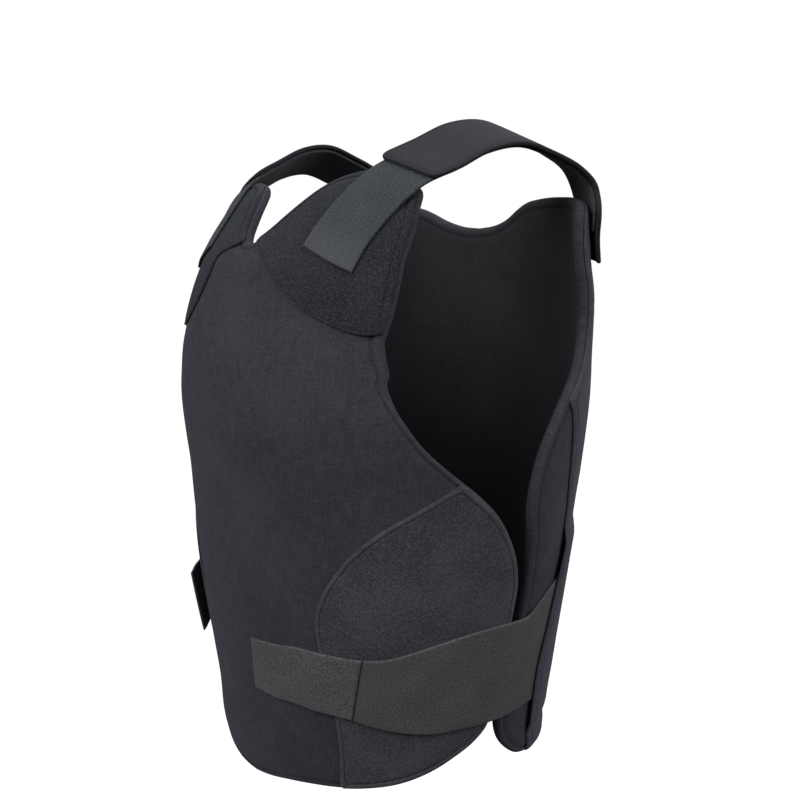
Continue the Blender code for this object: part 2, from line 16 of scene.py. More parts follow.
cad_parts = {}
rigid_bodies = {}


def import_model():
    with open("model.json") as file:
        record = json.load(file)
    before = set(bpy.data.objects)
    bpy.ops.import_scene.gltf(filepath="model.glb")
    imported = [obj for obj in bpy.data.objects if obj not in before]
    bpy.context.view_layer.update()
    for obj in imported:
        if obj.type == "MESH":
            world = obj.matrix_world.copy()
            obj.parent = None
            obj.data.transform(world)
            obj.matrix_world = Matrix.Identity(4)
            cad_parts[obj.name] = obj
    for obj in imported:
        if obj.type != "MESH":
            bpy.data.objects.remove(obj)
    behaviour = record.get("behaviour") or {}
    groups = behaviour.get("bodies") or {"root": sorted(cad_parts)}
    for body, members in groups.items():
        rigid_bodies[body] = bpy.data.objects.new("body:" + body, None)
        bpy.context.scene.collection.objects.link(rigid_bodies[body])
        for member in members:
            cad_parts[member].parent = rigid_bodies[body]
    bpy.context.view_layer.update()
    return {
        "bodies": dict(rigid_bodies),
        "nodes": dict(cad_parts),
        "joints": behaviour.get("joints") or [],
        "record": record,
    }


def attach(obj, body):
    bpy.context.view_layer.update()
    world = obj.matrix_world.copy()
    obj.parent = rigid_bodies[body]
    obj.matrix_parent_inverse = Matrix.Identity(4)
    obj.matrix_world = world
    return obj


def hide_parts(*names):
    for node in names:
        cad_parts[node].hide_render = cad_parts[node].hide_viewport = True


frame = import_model()

MM = 0.001
FLIP_U = np.array([-1.0, 1.0])
FLIP_X = np.array([-1.0, 1.0, 1.0])

# the worn form: z, half width, front depth, back depth, front exponent, back exponent
BODY_ROWS = (
    (-25, 148.5, 53, 68, 1.89, 3.2),
    (-45, 144.5, 75.8, 81, 1.96, 3.1),
    (-65, 142, 93.4, 90, 2.04, 3),
    (-85, 142.3, 108, 98, 2.13, 2.8),
    (-105, 145.8, 115, 104.5, 2.24, 2.6),
    (-130, 146.9, 122.9, 110.5, 2.31, 2.4),
    (-170, 146.5, 129.4, 113.7, 2.33, 2.3),
    (-230, 142, 126, 109.1, 2.32, 2.25),
    (-300, 136.4, 122, 101.9, 2.31, 2.1),
    (-360, 129.5, 116.2, 93.8, 2.30, 2.08),
    (-400, 125.1, 110.7, 89, 2.29, 2.1),
    (-415, 123.6, 109.2, 91, 2.29, 2.18),
    (-445, 120.5, 106, 89.5, 2.28, 2.25),
)
BODY_CENTRE_Y = 8.0
RING_POINTS = 801
GIRTH_POINTS = 601

# the front hangs a little lower on the wearer's right
SAG = 0.17
SAG_REACH = 140.0
SAG_FROM = -300.0
SAG_RUN = 110.0
# the hem's fullest part, just right of the centre: how far it dips and flares, where, how wide
HEM_DIP, HEM_DIP_AT, HEM_DIP_REACH = 4.0, -8.0, 36.0
HEM_FLARE, HEM_FLARE_AT, HEM_FLARE_REACH = 3.0, -26.0, 40.0

# flat patterns, wearer's left half
FRONT_CUT = (
    (0, -76), (5, -75.2), (9.6, -72.6), (16.2, -67), (21.8, -60), (29.5, -51), (37.5, -43),
    (47.3, -37.4), (59.2, -34.2), (69.6, -33.2), (80, -33.8), (95, -37.8), (106, -41.8),
    (112.5, -46.5), (116, -53), (119.5, -63), (122.2, -74.8), (123.8, -87.4), (124.6, -98.8),
    (125.2, -115), (125.2, -129), (126.2, -138), (127.9, -147.2), (130.2, -154.5), (134, -161.5),
    (142.1, -174.3), (152.4, -189.4), (164, -203.3), (179.4, -218.9), (192.2, -234.5),
    (201.7, -253), (206.5, -269.3), (207, -285.5), (203.2, -302.5), (198.5, -320), (191.5, -341),
    (184, -362), (176.4, -382.5), (166.9, -391), (151.9, -399.8), (137.7, -407.4),
    (117.9, -415.2), (97, -420.2), (83.2, -423), (59.9, -427.4), (38.4, -432.2), (19, -436.6),
    (0, -439.6),
)
BACK_CUT = (
    (0, -62), (20, -60), (37, -55), (49, -49.5), (60, -45.5), (77, -43.4), (100, -43.2),
    (122, -45), (135, -49), (142.5, -56.5), (146, -69), (147, -84), (147.5, -100), (149.5, -117),
    (153.5, -132), (160.5, -146), (170, -158), (181, -170), (190.5, -185.6), (196.5, -201),
    (198.5, -220), (197, -240), (192.1, -257), (188.6, -277), (186.8, -296), (185.5, -315),
    (183.6, -340), (183.4, -364), (181.6, -380), (176.4, -395), (168.4, -408), (160, -416),
    (150, -420.2), (136, -422), (105, -424.6), (68, -428.5), (30, -431.4), (0, -432),
)
# how far the armhole's edge lies inside that smooth cut, by height
EDGE_TRIM = (
    (-237, 0), (-228, 0.6), (-219, 0.9), (-212, 1.3), (-203.5, 1.6), (-195.5, 2.2), (-188.5, 2.6),
    (-174, 2.8), (-166, 2.7), (-160, 2.1), (-155.5, 1.5), (-152.4, 1.1), (-149.6, -0.7),
    (-146, -1.1), (-141, -0.3), (-134, 0.7), (-129, 1.6), (-125, 0.8), (-119, 0.2), (-106, 0.1),
    (-93, 0.7), (-86, 1.4), (-72, 1.6), (-60, 1.8), (-52, 1.4), (-45, 0),
)
TRIM_FROM_U = 100.0
# how far in the armhole's edge seam lies, as a share of its usual place, by height
SEAM_SPREAD = (
    (-245, 1), (-225, 0.84), (-195, 0.68), (-172, 0.66), (-163, 0.78), (-154, 1.05), (-146, 1.28),
    (-138, 1.42), (-126, 1.42), (-114, 1),
)
SHOULDER_SEAM = (
    (11, -77.5), (20.1, -83.3), (37.2, -94.2), (50.7, -103.1), (71.1, -114.6), (94.8, -123),
    (106.6, -126.1), (116, -126.8), (122.7, -125.4),
)
# on the wearer's right the same seam turns a corner and then hangs lower
RIGHT_SHOULDER_SEAM = (
    (10, -77.8), (18, -80.3), (27.2, -82.2), (33.2, -84.4), (36.2, -88), (38.3, -94),
    (42.2, -100.8), (48.5, -111.8), (57.8, -121.8), (72, -130), (88, -133.2), (104, -133.8),
    (116, -132.6), (123.6, -130.6),
)
SIDE_SEAM = (
    (168.5, -212.3), (155.7, -219), (144, -226), (133, -232.6), (121.7, -240.3), (110, -250),
    (100.7, -260.1), (92.1, -272), (84.9, -283.7), (80.2, -295.8), (78.4, -308.3), (79.3, -322),
    (82, -345), (83.6, -371), (82.7, -394), (80.2, -420.8),
)
COVER_SEAM = (
    (178.6, -172), (172.5, -188), (168, -205), (163.5, -225), (158.7, -245), (156.6, -267),
    (158, -289), (159.4, -305), (159.9, -325), (160.4, -345), (158.9, -362), (154.9, -380),
    (151.9, -398), (149.4, -418.4),
)
# the back cover rises over a strap's rear end: least u, least z, greatest z, run of the slope, rise
LIFT_U, LIFT_LOW, LIFT_HIGH, LIFT_RAMP, LIFT = 92.0, -406.0, -254.0, 16.0, 3.1

# panel by distance from its edge: inner face, outer face; a turned edge with its stitch groove
PANEL_EDGE = (
    (0, 3.1, 4.9), (0.3, 2, 6.1), (1, 1, 7.1), (2.2, 0.4, 7.8), (3.6, 0.2, 8), (4.8, 0.7, 7.2),
    (6, 0.2, 8), (8.5, 0, 8.5), (12, 0, 8.8),
)
# the same outer face without the groove, for what lies on it
BED = ((0, 4.9), (0.3, 6.1), (1, 7.1), (2.2, 7.8), (4, 8.2), (8.5, 8.7), (12, 8.8))
BED_GAP = 0.3
SEAM_AT = 4.8
# how far either side of the panel's seam its painted shade reaches
SEAM_REACH = 1.25
SPREAD_RINGS = (2.9, 7.3, 9.8)
# thickness of a sewn-on cloth by distance from its own edge
PATCH_EDGE = (
    (0, 0.45), (0.3, 0.85), (0.9, 1.25), (2.2, 1.55), (3.4, 1.5), (4.1, 1.3), (4.7, 0.6),
    (5.3, 1.15), (6.4, 1.3), (8.4, 1.3),
)
PATCH_SEAM_AT = 4.7
# how far either side of a patch's seam its painted shade reaches
PATCH_SEAM_REACH = 0.65
PATCH_LIP = 0.25
PATCH_INSET = 1.0
# the lighter band of a side patch, between its edge and its seam
BAND_FROM, BAND_TO = 0.5, 4.3
# along a patch's own curved seam the stitches lie nearer its edge: the share of that distance
SHOULDER_SEAM_SHARE = 0.38
SIDE_SEAM_SHARE = 0.6
# and the run over which it changes
SEAM_CHANGE = 9.0
EDGE_STEP = 2.4
PITCH = 3.6
LINE_STEP = 0.5
# a closed line: every how many of its points serve a search, how many points are searched at once,
# how far apart a tangent's ends are, and how much of a move inwards must be left
COARSE = 4
AT_ONCE = 4000
TANGENT_REACH = 3
STILL_GOOD = 0.96
# shares of the edge step: the least gap at the outline's end, the longest link along a ring;
# and the share of the pitch that the grid keeps clear of the last ring
LEAST_STEP, MOST_STEP, GRID_CLEAR = 0.4, 1.8, 0.75
HALF_WAY_UP = -250.0

# side straps: upper edge girth and height, lower edge girth and height, stand-off; two
# stand-offs, upper and lower, for the tab that peels off
SIDE_STRAP = (
    (106.2, -323.1, 95.7, -365.8, 10.8),
    (118, -322, 109, -369.8, 10.8),
    (131, -318.2, 124, -373.4, 10.8),
    (144, -314, 138, -375.3, 10.8),
    (167, -308.9, 156, -375.4, 10.8),
    (188, -307.6, 174, -376, 10.8),
    (201, -308.2, 187, -376, 10.7),
    (213, -308, 199, -375.6, 10),
    (223, -302.5, 208, -375.4, 9.4),
    (235, -296.2, 219, -375.6, 9.3),
    (252, -291, 234, -376.4, 9.3),
    (270, -288, 247, -377, 9.3),
)
SIDE_TAB = (
    (22.6, -329.3, 19.6, -366.4, 9.4),
    (45, -326.4, 41, -366, 9.4),
    (66, -322.9, 60.5, -364.4, 9.4),
    (77.5, -322.2, 71, -364, 10.8),
    (90, -322.6, 81, -364.4, 10.8),
    (106, -323.1, 95.5, -365.8, 10.8),
)
RIGHT_STRAP = (
    (160.4, -313, 152.4, -360, 10.8),
    (167, -311.6, 158, -363, 10.8),
    (176, -309.6, 165.5, -369, 10.8),
    (188, -307.9, 175.5, -374.6, 10.8),
) + SIDE_STRAP[6:]
RIGHT_TAB = (
    (77.6, -317.5, 81.5, -367.5, 17, 15.5),
    (84, -314.2, 86.5, -365, 14, 13),
    (93, -313.2, 93, -362, 11.4, 11.2),
    (108, -313.4, 106, -359.4, 10.8, 10.8),
    (132, -313.4, 127, -359.2, 10.8, 10.8),
    (160.2, -313, 152.2, -360, 10.8, 10.8),
)
ELASTIC_THICK = 2.0
TAB_THICK = 1.8
# a band's edge: its share of the full thickness, and the radius of its round
BAND_LIP, BAND_ROUND = 0.35, 0.8
BAND_COLUMNS = 15

# shoulder straps: on the chest, inner edge u, z and outer edge u, z
CHEST_STATIONS = (
    (59.5, -80.6, 97.5, -94.2),
    (61, -66, 100.3, -79.5),
    (64.8, -51.4, 104.4, -64.2),
    (72.5, -37, 113, -47.5),
)
CHEST_STAND_OFF = 10.9
# over the shoulder: middle of the underside x, y, z, roll and yaw of the width
SHOULDER_ARC = (
    (100, -26, -22.1, 0.41, -0.08),
    (102.7, -3.4, -11.6, 0.43, 0),
    (105.9, 20, -7.6, 0.40, 0.04),
    (109.5, 44, -13.2, 0.36, 0.10),
    (113.5, 65, -20.6, 0.36, 0.20),
    (116, 79.5, -29.8, 0.34, 0.35),
)
# on the back: inner edge u, z; outer edge u, z; stand-off
BACK_STATIONS = (
    (101.5, -50, 140, -53, 13),
    (98.5, -67, 137.2, -69.5, 11.6),
    (96.5, -85, 135.5, -87, 11.4),
)
ELASTIC_WIDTH = 39.6
RIB_PITCH, RIB_HIGH, RIB_STEP = 1.3, 0.03, 0.65
PAD_WIDTH = 46.0
PAD_CORNER = 5.5
PAD_GAP = 0.05
PAD_THICK = 3.0
# the pad's thickness by distance from its edge, with its stitched rim
PAD_RIM = ((0, 1), (0.3, 2.1), (0.8, 2.8), (1.4, 2.8), (2.1, 2.1), (2.9, 2.85), (8, 3.1))
PAD_SEAM_AT = 2.1
STATIONS = 24
ELASTIC_END = 22
PAD_FRONT = 62.8
STATION_STEP = 9.7


def through(xs, ys, x):
    """Smooth curve through the rows of a table."""
    x = np.clip(x, xs[0], xs[-1])
    slopes = np.gradient(ys, xs, axis=0)
    i = np.clip(np.searchsorted(xs, x, side="right") - 1, 0, len(xs) - 2)
    width = xs[i + 1] - xs[i]
    t = (x - xs[i]) / width
    if ys.ndim > 1:
        t = t[..., None]
        width = width[..., None]
    a = 2 * t**3 - 3 * t**2 + 1
    b = t**3 - 2 * t**2 + t
    c = -2 * t**3 + 3 * t**2
    d = t**3 - t**2
    return a * ys[i] + b * width * slopes[i] + c * ys[i + 1] + d * width * slopes[i + 1]


def eased(share):
    """A share held between 0 and 1, with a soft start and end."""
    share = np.clip(share, 0.0, 1.0)
    return share * share * (3 - 2 * share)


def unit(vectors):
    return vectors / np.linalg.norm(vectors, axis=-1, keepdims=True)


def run_of(line):
    """How far along a line each of its points lies."""
    return np.concatenate([[0.0], np.cumsum(np.linalg.norm(np.diff(line, axis=0), axis=1))])


def sampled(run, line, at):
    """Points of a polyline at distances along it."""
    return np.stack([np.interp(at, run, column) for column in line.T], axis=-1)


class Body:
    """The form the vest is worn on, tabled by height and by share of the half girth."""

    def __init__(self, rows):
        table = np.array(rows)[::-1]
        self.foot = table[0, 0]
        heights = np.arange(table[0, 0], table[-1, 0] + 0.5, 1.0)
        half, front, back, front_exp, back_exp = through(table[:, 0], table[:, 1:], heights).T
        angle = np.linspace(0.0, math.pi, RING_POINTS)
        ahead = np.cos(angle) > 0
        power = np.where(ahead, 2 / front_exp[:, None], 2 / back_exp[:, None])
        depth = np.where(ahead, front[:, None], back[:, None])
        x = half[:, None] * np.abs(np.sin(angle)) ** power
        y = BODY_CENTRE_Y - depth * np.sign(np.cos(angle)) * np.abs(np.cos(angle)) ** power
        x[:, [0, -1]] = 0.0
        step = np.hypot(np.diff(x, axis=1), np.diff(y, axis=1))
        girth = np.concatenate([np.zeros((len(x), 1)), np.cumsum(step, axis=1)], axis=1)
        self.whole = girth[:, -1]
        share = np.linspace(0.0, 1.0, GIRTH_POINTS)
        self.grid = np.stack([[np.interp(share * w, g, row) for w, g, row in
                               zip(self.whole, girth, ring)] for ring in (x, y)], axis=2)

    def half_girth(self, z):
        return np.interp(z - self.foot, np.arange(len(self.whole)), self.whole)

    def skin(self, girth, z):
        """Points on the body, girth measured from the centre front."""
        row = np.clip(z - self.foot, 0.0, len(self.whole) - 1.001)
        whole = self.half_girth(z)
        side = np.where((girth < 0) ^ (np.abs(girth) > whole), -1.0, 1.0)
        within = np.minimum(np.abs(girth), 2 * whole - np.abs(girth))
        column = np.clip(within / whole * (GIRTH_POINTS - 1), 0.0, GIRTH_POINTS - 1.001)
        i = row.astype(int)
        j = column.astype(int)
        f = (row - i)[:, None]
        t = (column - j)[:, None]
        low = self.grid[i, j] * (1 - t) + self.grid[i, j + 1] * t
        high = self.grid[i + 1, j] * (1 - t) + self.grid[i + 1, j + 1] * t
        x, y = (low * (1 - f) + high * f).T
        return np.stack([x * side, y, z], axis=1)

    def place(self, girth, z, stand_off):
        """Points held off the body along its outward normal."""
        reach = 1.5
        along = self.skin(girth + reach, z) - self.skin(girth - reach, z)
        up = self.skin(girth, z + reach) - self.skin(girth, z - reach)
        stand_off = np.broadcast_to(stand_off, z.shape)[:, None]
        return self.skin(girth, z) + unit(np.cross(along, up)) * stand_off


BODY = Body(BODY_ROWS)
on_front = BODY.place


def on_front_panel(u, z, stand_off):
    low = np.clip((SAG_FROM - z) / SAG_RUN, 0.0, 1.0)
    dip = HEM_DIP * np.exp(-((u - HEM_DIP_AT) / HEM_DIP_REACH) ** 2) * low**2
    flare = HEM_FLARE * np.exp(-((u - HEM_FLARE_AT) / HEM_FLARE_REACH) ** 2) * low**3
    return on_front(u, z + SAG * np.clip(u, -SAG_REACH, 0.0) * low - dip, stand_off + flare)


def on_right_patch(u, z, stand_off):
    """For a patch that is cut for the left and turned over."""
    return on_front_panel(-u, z, stand_off) * FLIP_X


def on_back(u, z, stand_off):
    return BODY.place(BODY.half_girth(z) - u, z, stand_off)


# flat patterns

def steps_over(length):
    return np.linspace(0.0, length, max(2, int(round(length / LINE_STEP)) + 1))


def even(line):
    """The same polyline with evenly spaced points."""
    run = run_of(line)
    return sampled(run, line, steps_over(run[-1]))


def smooth_line(points):
    """Evenly spaced points on a smooth curve through pattern points."""
    points = np.array(points, float)
    run = run_of(points)
    return even(through(run, points, steps_over(run[-1])))


def turning(a, b):
    """How far pairs of flat vectors turn anticlockwise, times their lengths."""
    return a[:, 0] * b[:, 1] - a[:, 1] * b[:, 0]


def anticlockwise(loop):
    return loop if turning(loop, np.roll(loop, -1, axis=0)).sum() > 0 else loop[::-1]


def whole_loop(half):
    """Closed anticlockwise outline from a half outline that starts and ends at the centre."""
    return anticlockwise(np.vstack([half, half[1:-1][::-1] * FLIP_U]))


def outline_of(corners):
    """A closed anticlockwise outline through corners."""
    corners = np.array(corners, float)
    return anticlockwise(even(np.vstack([corners, corners[:1]]))[:-1])


def turned(loop):
    """The same outline on the other side of the centre line."""
    return anticlockwise(loop * FLIP_U)


def both_sides(loop):
    return [loop, turned(loop)]


def trimmed(half):
    """The front's half outline with its armhole edge cut in as worn."""
    inwards = -unit(np.gradient(half, axis=0))[:, ::-1] * FLIP_U
    heights, amounts = np.array(EDGE_TRIM).T
    amount = through(heights, amounts, half[:, 1]) * (half[:, 0] > TRIM_FROM_U)
    return even(half + inwards * amount[:, None])


def flat_tree(points):
    tree = kdtree.KDTree(len(points))
    for i, (u, z) in enumerate(points):
        tree.insert((u, z, 0.0), i)
    tree.balance()
    return tree


def distances(points, line):
    """Distance of each flat point to an evenly sampled line."""
    tree = flat_tree(line)
    return np.array([tree.find((u, z, 0.0))[2] for u, z in points])


def lies_in(points, loop):
    """Which points lie inside a closed polygon."""
    loop = loop[::COARSE]
    found = np.zeros(len(points), bool)
    ax, ay = loop.T[:, None]
    bx, by = np.roll(loop, -1, axis=0).T[:, None]
    rise = np.where(by == ay, 1e-12, by - ay)
    for start in range(0, len(points), AT_ONCE):
        x, y = points[start:start + AT_ONCE].T[:, :, None]
        crosses = ((ay > y) != (by > y)) & (x < (bx - ax) * (y - ay) / rise + ax)
        found[start:start + AT_ONCE] = crosses.sum(1) % 2 == 1
    return found


def moved_in(loop, amount):
    """An anticlockwise outline moved inwards, and which of its points are still good."""
    tangent = np.roll(loop, -TANGENT_REACH, axis=0) - np.roll(loop, TANGENT_REACH, axis=0)
    tangent /= np.maximum(np.linalg.norm(tangent, axis=1), 1e-9)[:, None]
    amount = np.broadcast_to(amount, len(loop))
    moved = loop + tangent[:, ::-1] * FLIP_U * amount[:, None]
    return moved, distances(moved, loop) > STILL_GOOD * amount


def cut_cloth(loop, rings, pitch=PITCH, step=EDGE_STEP):
    """Points and triangles of a flat pattern, in rings along its edge. The outline comes first."""
    stride = int(round(step / LINE_STEP))
    edge = loop[::stride]
    if np.linalg.norm(edge[0] - edge[-1]) < LEAST_STEP * step:
        edge = edge[:-1]
    parts = [edge]
    edges = []
    count = len(edge)
    for amount in rings:
        moved, good = moved_in(loop, amount)
        at = [i for i in range(0, len(loop), stride) if good[i]]
        ring = moved[at]
        for k in range(len(at)):
            if np.linalg.norm(ring[k] - ring[k - 1]) < MOST_STEP * step:
                edges.append((count + (k - 1) % len(at), count + k))
        parts.append(ring)
        count += len(at)
    low, high = loop.min(0), loop.max(0)
    rise = pitch * math.sqrt(3) / 2
    grid = np.array([(x, low[1] + r * rise) for r in range(int((high[1] - low[1]) / rise) + 1)
                     for x in np.arange(low[0] + 0.5 * pitch * (r % 2), high[0], pitch)])
    grid = grid[lies_in(grid, loop)]
    parts.append(grid[distances(grid, loop) > rings[-1] + GRID_CLEAR * pitch])
    flat = np.vstack(parts)
    face = list(range(len(edge)))
    for links in (edges, []):
        coords, _, faces, origins, _, _ = delaunay_2d_cdt(flat.tolist(), links, [face], 1, 1e-6)
        if len(coords) == len(flat):
            break
    order = np.array([source[0] for source in origins])
    triangles = order[np.array([tuple(f) for f in faces])]
    a, b, c = flat[triangles.T]
    wrong = turning(b - a, c - a) < 0
    triangles[wrong] = triangles[wrong][:, ::-1]
    return flat, triangles, len(edge)


def by_distance(table, distance, column=1):
    rows = np.array(table)
    return np.interp(distance, rows[:, 0], rows[:, column])


def depth_in(flat, loop, edge, spread):
    """Distance of a pattern's points from its edge, in terms of where its seam lies."""
    depth = distances(flat, loop)
    depth[:edge] = 0.0
    return depth / spread(flat)


# meshes

def mesh_piece(name, points, faces, flat, finishes, which=None, seam=None):
    """An object from points and flat cloth positions in millimetres, with faces that look out."""
    mesh = bpy.data.meshes.new(name)
    mesh.from_pydata((points * MM).tolist(), [], faces)
    corners = np.zeros(len(mesh.loops), np.int64)
    mesh.loops.foreach_get("vertex_index", corners)
    layer = mesh.uv_layers.new(name="cut")
    layer.data.foreach_set("uv", (flat[corners] * MM).astype(np.float32).ravel())
    for finish in finishes:
        mesh.materials.append(finish)
    if which is not None:
        mesh.polygons.foreach_set("material_index", which.astype(np.int32))
    mesh.polygons.foreach_set("use_smooth", np.ones(len(mesh.polygons), bool))
    if seam is not None:
        worked = mesh.attributes.new("seam", "FLOAT", "POINT")
        worked.data.foreach_set("value", seam.astype(np.float32))
    mesh.update()
    piece = bpy.data.objects.new(name, mesh)
    bpy.context.scene.collection.objects.link(piece)
    return piece


def volume(points, triangles):
    a, b, c = points[triangles.T]
    return float(np.einsum("ij,ij->i", a, np.cross(b, c)).sum() / 6)


def area_of(points, triangles):
    """Area of a triangulated face, flat or in space."""
    points = np.pad(points, ((0, 0), (0, 3 - points.shape[1])))
    a, b, c = points[triangles.T]
    return float(np.linalg.norm(np.cross(b - a, c - a), axis=1).sum() / 2)


def close_layers(name, flat, upper, rim, top, low, finishes, seam, mirror=False):
    """A closed piece from an upper and an under face with one flat pattern, joined at its rim."""
    count = len(flat)
    ahead = np.roll(rim, -1)
    wall = np.stack([ahead, rim, rim + count, ahead + count], 1)
    if upper.shape[1] == 3:
        wall = np.vstack([wall[:, [1, 2, 3]], wall[:, [1, 3, 0]]])
    faces = np.vstack([upper, upper[:, ::-1] + count, wall])
    points = np.vstack([top, low])
    if mirror:
        points = points * FLIP_X
    halves = np.vstack([faces[:, :3], faces[:, [0, 2, 3]]]) if upper.shape[1] == 4 else faces
    if volume(points, halves) < 0:
        faces = faces[:, ::-1]
    which = None
    if len(finishes) > 1:
        which = np.repeat([0, 1, 0], [len(upper), len(upper), len(wall)])
    return mesh_piece(name, points, faces.tolist(), np.vstack([flat, flat]), finishes, which,
                      np.tile(seam, 2))


def close_band(name, top, low, flat, finish, mirror, seam):
    """A closed band from two grids of points, rows along it and columns across it."""
    index = np.arange(seam.size).reshape(seam.shape)
    upper = np.stack([index[:-1, :-1], index[:-1, 1:], index[1:, 1:], index[1:, :-1]], axis=2)
    rim = np.concatenate([index[0, :], index[1:, -1], index[-1, -2::-1], index[-2:0:-1, 0]])
    return close_layers(name, flat.reshape(-1, 2), upper.reshape(-1, 4), rim, top.reshape(-1, 3),
                        low.reshape(-1, 3), [finish], seam.ravel(), mirror)


def rounded(distance, radius):
    """0 at an edge, 1 from one radius in, along a quarter circle."""
    return np.sqrt(1 - (1 - np.clip(distance / radius, 0.0, 1.0)) ** 2)


def groove(distance, middle, reach):
    """1 at a sewn groove or edge, 0 from its reach outwards: the mask for painted shade."""
    return np.clip(1 - np.abs(distance - middle) / reach, 0.0, 1.0)


def dress(piece, node):
    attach(piece, "root")
    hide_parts(node)
    return piece


# finishes

class Thread:
    """A value in a node tree, with arithmetic that adds its nodes."""

    def __init__(self, web, socket):
        self.web = web
        self.socket = socket

    def math(self, operation, *others):
        return self.web.node("Math", {"operation": operation}, self, *others)

    def __add__(self, other):
        return self.math("ADD", other)

    def __sub__(self, other):
        return self.math("SUBTRACT", other)

    def __rsub__(self, other):
        return self.web.node("Math", {"operation": "SUBTRACT"}, other, self)

    def __mul__(self, other):
        return self.math("MULTIPLY", other)

    def wave(self, pitch):
        """From 0 to 1 and back, once in each pitch."""
        return (self * (2 * math.pi / pitch)).math("SINE") * 0.5 + 0.5


class Web:
    """A node tree, filled one node at a time."""

    def __init__(self, tree):
        self.tree = tree

    def feed(self, socket, value):
        """A value that varies is linked, a constant is set."""
        if isinstance(value, Thread):
            self.tree.links.new(value.socket, socket)
        else:
            socket.default_value = value

    def node(self, kind, settings=None, *values, out=0, **named):
        made = self.tree.nodes.new("ShaderNode" + kind)
        for key, value in (settings or {}).items():
            setattr(made, key, value)
        for key, value in [*enumerate(values), *named.items()]:
            self.feed(made.inputs[key], value)
        return Thread(self, made.outputs[out])


class Finish(Web):
    """A material made of nodes, with a Principled shader for its surface."""

    def __init__(self, name):
        self.material = bpy.data.materials.new(name)
        self.material.use_nodes = True
        super().__init__(self.material.node_tree)
        self.shader = self.tree.nodes["Principled BSDF"]

    def cloth(self):
        """Flat position on the cloth, in millimetres."""
        return self.stretched(self.node("UVMap", {"uv_map": "cut"}), 1 / MM, 1 / MM)

    def parts(self, vector):
        first = self.node("SeparateXYZ", None, vector)
        return first, Thread(self, first.socket.node.outputs[1])

    def seam(self):
        """How near a point of the cloth is to a sewn groove, edge or joint: where the finishes
        paint shade (below zero on a side patch's paler band).
        """
        return self.node("Attribute", {"attribute_name": "seam"}, out=2)

    def stretched(self, vector, first, second):
        return self.node("VectorMath", {"operation": "MULTIPLY"}, vector, (first, second, 1.0))

    def noise(self, vector, scale, detail=2.0, roughness=0.5):
        return self.node("TexNoise", None, Vector=vector, Scale=scale, Detail=detail,
                         Roughness=roughness)

    def band(self, value, low, high, to_low=0.0, to_high=1.0):
        return self.node("MapRange", {"interpolation_type": "SMOOTHSTEP"}, value, low, high,
                         to_low, to_high)

    def blend(self, share, dark, light):
        made = self.node("Mix", {"data_type": "RGBA"}, share, out=2)
        sockets = made.socket.node.inputs
        self.feed(sockets[6], dark)
        self.feed(sockets[7], light)
        return made

    def surface(self, height=None, relief=0.0002, strength=1.0, **sockets):
        if height is not None:
            bump = self.node("Bump", None, Strength=strength, Distance=relief, Height=height)
            self.feed(self.shader.inputs["Normal"], bump)
        for key, value in sockets.items():
            self.feed(self.shader.inputs[key.replace("_", " ")], value)
        return self.material


def grey(level, blue):
    return (level, level * (1 + 0.02 * blue), level * (1 + 0.13 * blue), 1.0)


def shades(level, blue, swing):
    """A darker and a lighter grey about one level."""
    return grey(level * (1 - swing), blue), grey(level * (1 + swing), blue)


def times(colour, share):
    return (*(share * c for c in colour[:3]), 1.0)


def woven_cloth(name, level, blue, swing, pitch=0.85, fuzz=0.06):
    """Close weave: faint slubs both ways and a fine grain, with painted shade darkening it at sewn
    grooves and edges.
    """
    f = Finish(name)
    flat = f.cloth()
    across, along = f.parts(flat)
    twill = (across + along * 0.62).wave(pitch)
    ply = (across * 0.5 - along).wave(pitch / 1.3)
    grain = f.noise(flat, 0.7, 3.0, 0.7)
    warp = f.noise(f.stretched(flat, 0.8, 0.1), 1.0, 2.0, 0.6)
    weft = f.noise(f.stretched(flat, 0.1, 0.8), 1.0, 2.0, 0.6)
    clouds = f.noise(flat, 0.016)
    mottle = f.noise(f.stretched(flat, 0.16, 0.1), 1.0)
    tone = grain * 0.4 + warp * 0.18 + weft * 0.14 + mottle * 0.12 + clouds * 0.16
    colour = f.blend(f.band(tone, 0.38, 0.62), *shades(level, blue, swing))
    # painted shade: darker where the seam attribute marks a sewn groove or a pad's edge
    colour = f.blend(f.seam() * 0.62, colour, grey(level * 0.3, blue))
    height = twill * 0.4 + ply * 0.25 + grain * 1.1
    return f.surface(height, 0.00022, 0.8, Base_Color=colour, Roughness=0.95,
                     Specular_IOR_Level=0.1, Sheen_Weight=fuzz, Sheen_Roughness=0.5,
                     Sheen_Tint=(0.7, 0.77, 0.95, 1.0))


def loop_cloth(name, level, blue, speck):
    """Brushed loop pile: matted, with paler tufts."""
    f = Finish(name)
    flat = f.cloth()
    tufts = f.noise(flat, 0.45, 2.0, 0.7)
    fine = f.noise(flat, 0.95, 2.0, 0.8)
    clouds = f.noise(flat, 0.03, 2.0, 0.6)
    tone = clouds * 0.3 + tufts * 0.3 + fine * 0.4
    base = f.blend(f.band(tone, 0.4, 0.6), *shades(level, blue, 0.4))
    specks = f.band(fine * 0.8 + tufts * 0.2, 0.5, 0.68, 0.0, 0.6)
    colour = f.blend(specks, base, grey(speck, blue))
    # paler on a side patch's band before its seam, then painted shade darkening the stitch groove
    colour = f.blend(f.seam() * -0.14, colour, grey(speck, blue))
    colour = f.blend(f.seam() * 0.8, colour, grey(level * 0.2, blue))
    return f.surface(tufts * 0.7 + fine * 0.9, 0.0006, 0.9, Base_Color=colour, Roughness=1.0,
                     Specular_IOR_Level=0.05, Sheen_Weight=0.08, Sheen_Roughness=0.6,
                     Sheen_Tint=(0.75, 0.8, 0.95, 1.0))


